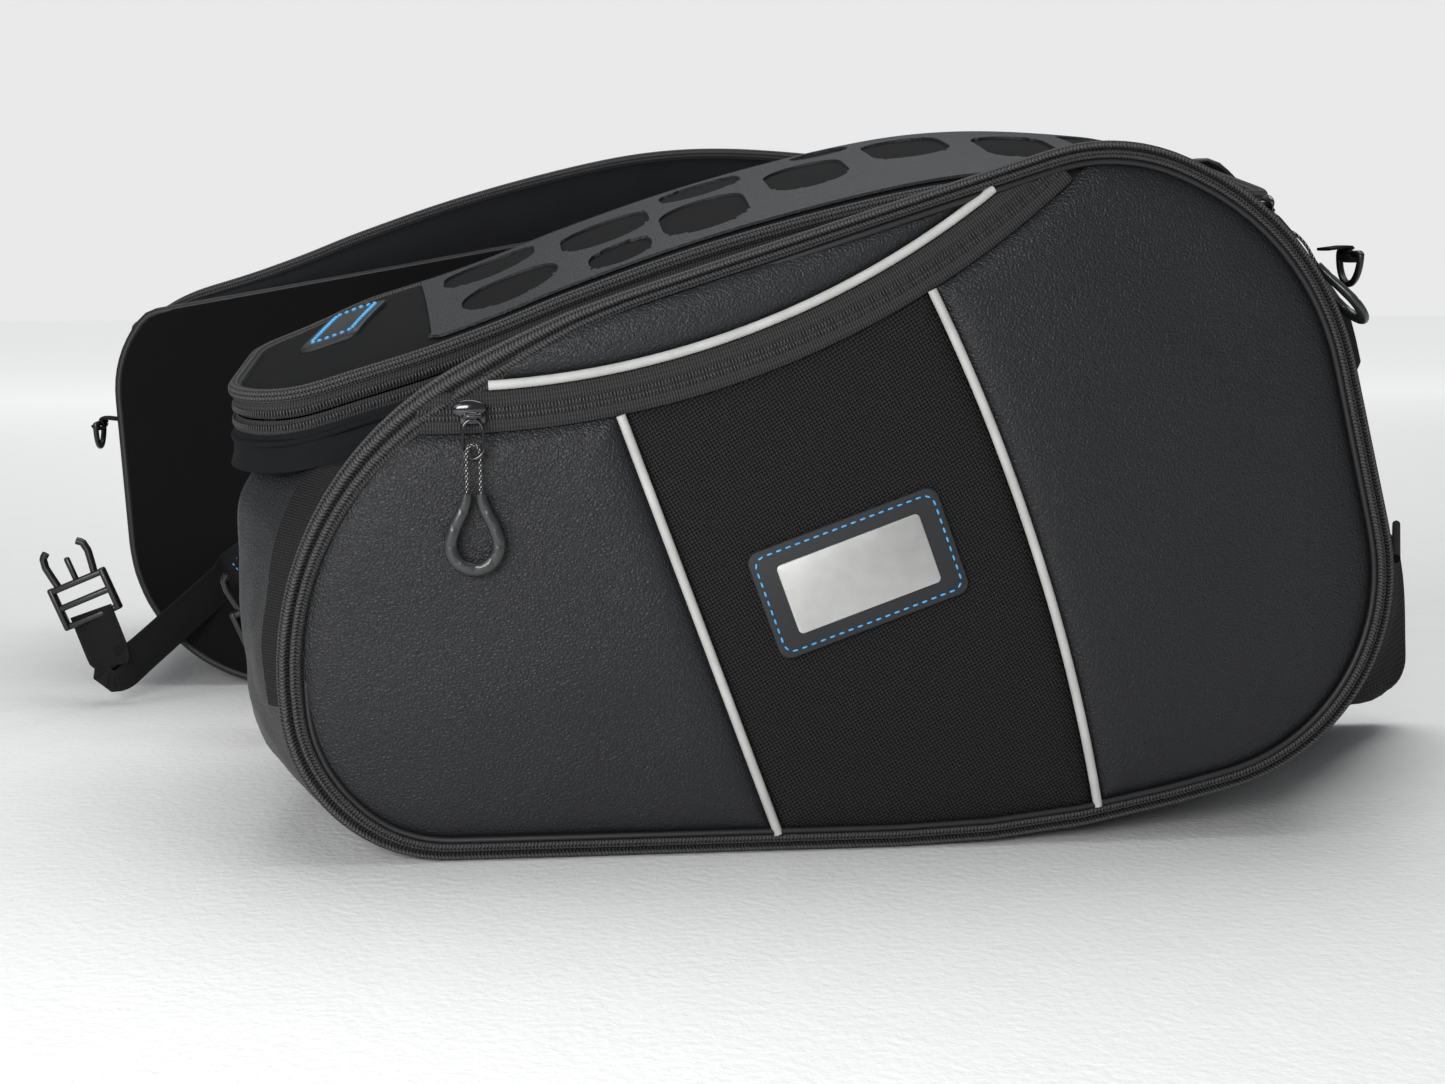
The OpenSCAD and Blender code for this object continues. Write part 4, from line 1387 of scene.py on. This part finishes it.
# yoke straps between the two back panels
yoke = {"low": -90, "high": 70, "width": 50, "thick": 3, "dip": 14}
for name in ("low", "high"):
    x0 = yoke[name]
    z0 = 226 + x0 * 0.235
    a = place((x0, 190, z0), "right") * 1000
    b = place((x0, 190, z0), "left") * 1000
    pts = [a.lerp(b, k / 20) - Vector((0, 0, yoke["dip"] * math.sin(pi * k / 20))) for k in range(21)]
    bm = sweep(walk(pts), strapSection(yoke["width"], yoke["thick"]), 60, 24, side=Vector((0, 0, 1)))
    for v in bm.verts:
        v.co = v.co / 1000
    mesh = bpy.data.meshes.new("yoke_" + name)
    bm.to_mesh(mesh)
    bm.free()
    mesh.materials.append(finishes["webbing"])
    for p in mesh.polygons:
        p.use_smooth = True
    band = bpy.data.objects.new("yokeBand_" + name, mesh)
    bpy.context.collection.objects.link(band)
    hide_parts("yoke_strap_" + name)
    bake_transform(band)
print("straps")


# sliders
def sliderPiece(where, turn):
    bm = bmesh.new()
    bm.loops.layers.uv.new("UVMap")
    block(bm, (10.4, 3.4, 7.6), (0, 4.2, 0), 1.3, 3)
    for s in (-1, 1):
        block(bm, (1.4, 4.4, 3.0), (s * 2.9, 1.2, 0), 0.6, 3)
    cap = [(-3.4, 1.6, 0), (-3.2, -0.4, 0), (-1.8, -1.1, 0), (1.8, -1.1, 0), (3.2, -0.4, 0), (3.4, 1.6, 0)]
    joinTo(bm, sweep(walk([Vector(p) for p in cap]), roundSection(0.95), 30, 10, side=Vector((0, 0, 1))))
    dome = bmesh.ops.create_uvsphere(bm, u_segments=28, v_segments=16, radius=1)["verts"]
    bmesh.ops.scale(bm, vec=(6.6, 1.9, 3.6), verts=dome)
    bmesh.ops.translate(bm, vec=(-1.2, 1.3, 2.6), verts=dome)
    return settle(bm, lambda p: where + turn @ p)


make(sliderPiece(pocketPivot, Matrix.Rotation(-sliderTurn, 3, "Y")), "pocketSlider", "pocket_slider",
     ["black_metal"], stands=["pocket_slider"])
make(sliderPiece(lidPivot, Matrix.Rotation(pi / 2, 3, "Z")), "lidSlider", "bag", ["black_metal"],
     stands=["lid_slider"])

for side in sides:
    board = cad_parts[f"{side}_liner_board"]
    board.data.materials.clear()
    board.data.materials.append(finishes["liner_board"])

# floor and light
studio = {"floor": (0.84, 0.84, 0.84), "sky": 0.23, "key": 2.5, "sheen": 7, "fill": 32, "painted_glow": 0.58}
bm = bmesh.new()
bmesh.ops.create_grid(bm, x_segments=8, y_segments=8, size=6)
mesh = bpy.data.meshes.new("floor")
bm.to_mesh(mesh)
bm.free()
floor = bpy.data.objects.new("floor", mesh)
f = Finish("floor", studio["floor"], 0.55)
f.set(Base_Color=f.blendColours(f.cloud(40, 4), (0.85, 0.85, 0.85), (0.91, 0.91, 0.91)))
f.bump(f.cloud(260, 3), 0.0012, 0.5)
far = (f.split(f.where())[1] - 0.25) * 0.5  # painted glow: the floor emits light, more with distance behind the bags
far = far.sum("MAXIMUM", far, 0.0)
far = far.sum("MINIMUM", far, 1.0)
f.set(Emission_Color=f.blendColours(far, (0, 0, 0), (studio["painted_glow"],) * 3), Emission_Strength=1.0)
mesh.materials.append(f.mat)
bpy.context.collection.objects.link(floor)
world = bpy.data.worlds.new("studio")
bpy.context.scene.world = world
world.use_nodes = True
tree = world.node_tree
shown, lit = tree.nodes["Background"], tree.nodes.new("ShaderNodeBackground")
shown.inputs[0].default_value, shown.inputs[1].default_value = (0.82, 0.82, 0.825, 1), 1.0
lit.inputs[0].default_value, lit.inputs[1].default_value = (0.95, 0.97, 1.0, 1), studio["sky"]
path, mixer = tree.nodes.new("ShaderNodeLightPath"), tree.nodes.new("ShaderNodeMixShader")
tree.links.new(path.outputs["Is Camera Ray"], mixer.inputs[0])
tree.links.new(lit.outputs[0], mixer.inputs[1])
tree.links.new(shown.outputs[0], mixer.inputs[2])
tree.links.new(mixer.outputs[0], tree.nodes["World Output"].inputs[0])


def softBox(name, at, aim, size, power):
    lamp = bpy.data.lights.new(name, "AREA")
    lamp.shape = "RECTANGLE"
    lamp.size, lamp.size_y = size
    lamp.energy = power
    o = bpy.data.objects.new(name, lamp)
    o.location = at
    o.rotation_euler = (Vector(aim) - Vector(at)).to_track_quat("-Z", "Y").to_euler()
    bpy.context.collection.objects.link(o)


softBox("key", (-0.95, -1.0, 0.85), (-0.15, -0.25, 0.12), (0.8, 0.6), studio["key"])
softBox("sheen", (-0.45, -1.15, 0.42), (-0.16, -0.26, 0.2), (0.55, 0.3), studio["sheen"])
softBox("top", (0.2, 0.3, 2.0), (0, 0, 0.1), (2.2, 1.6), studio["fill"])
bpy.context.scene.view_settings.view_transform = "Standard"
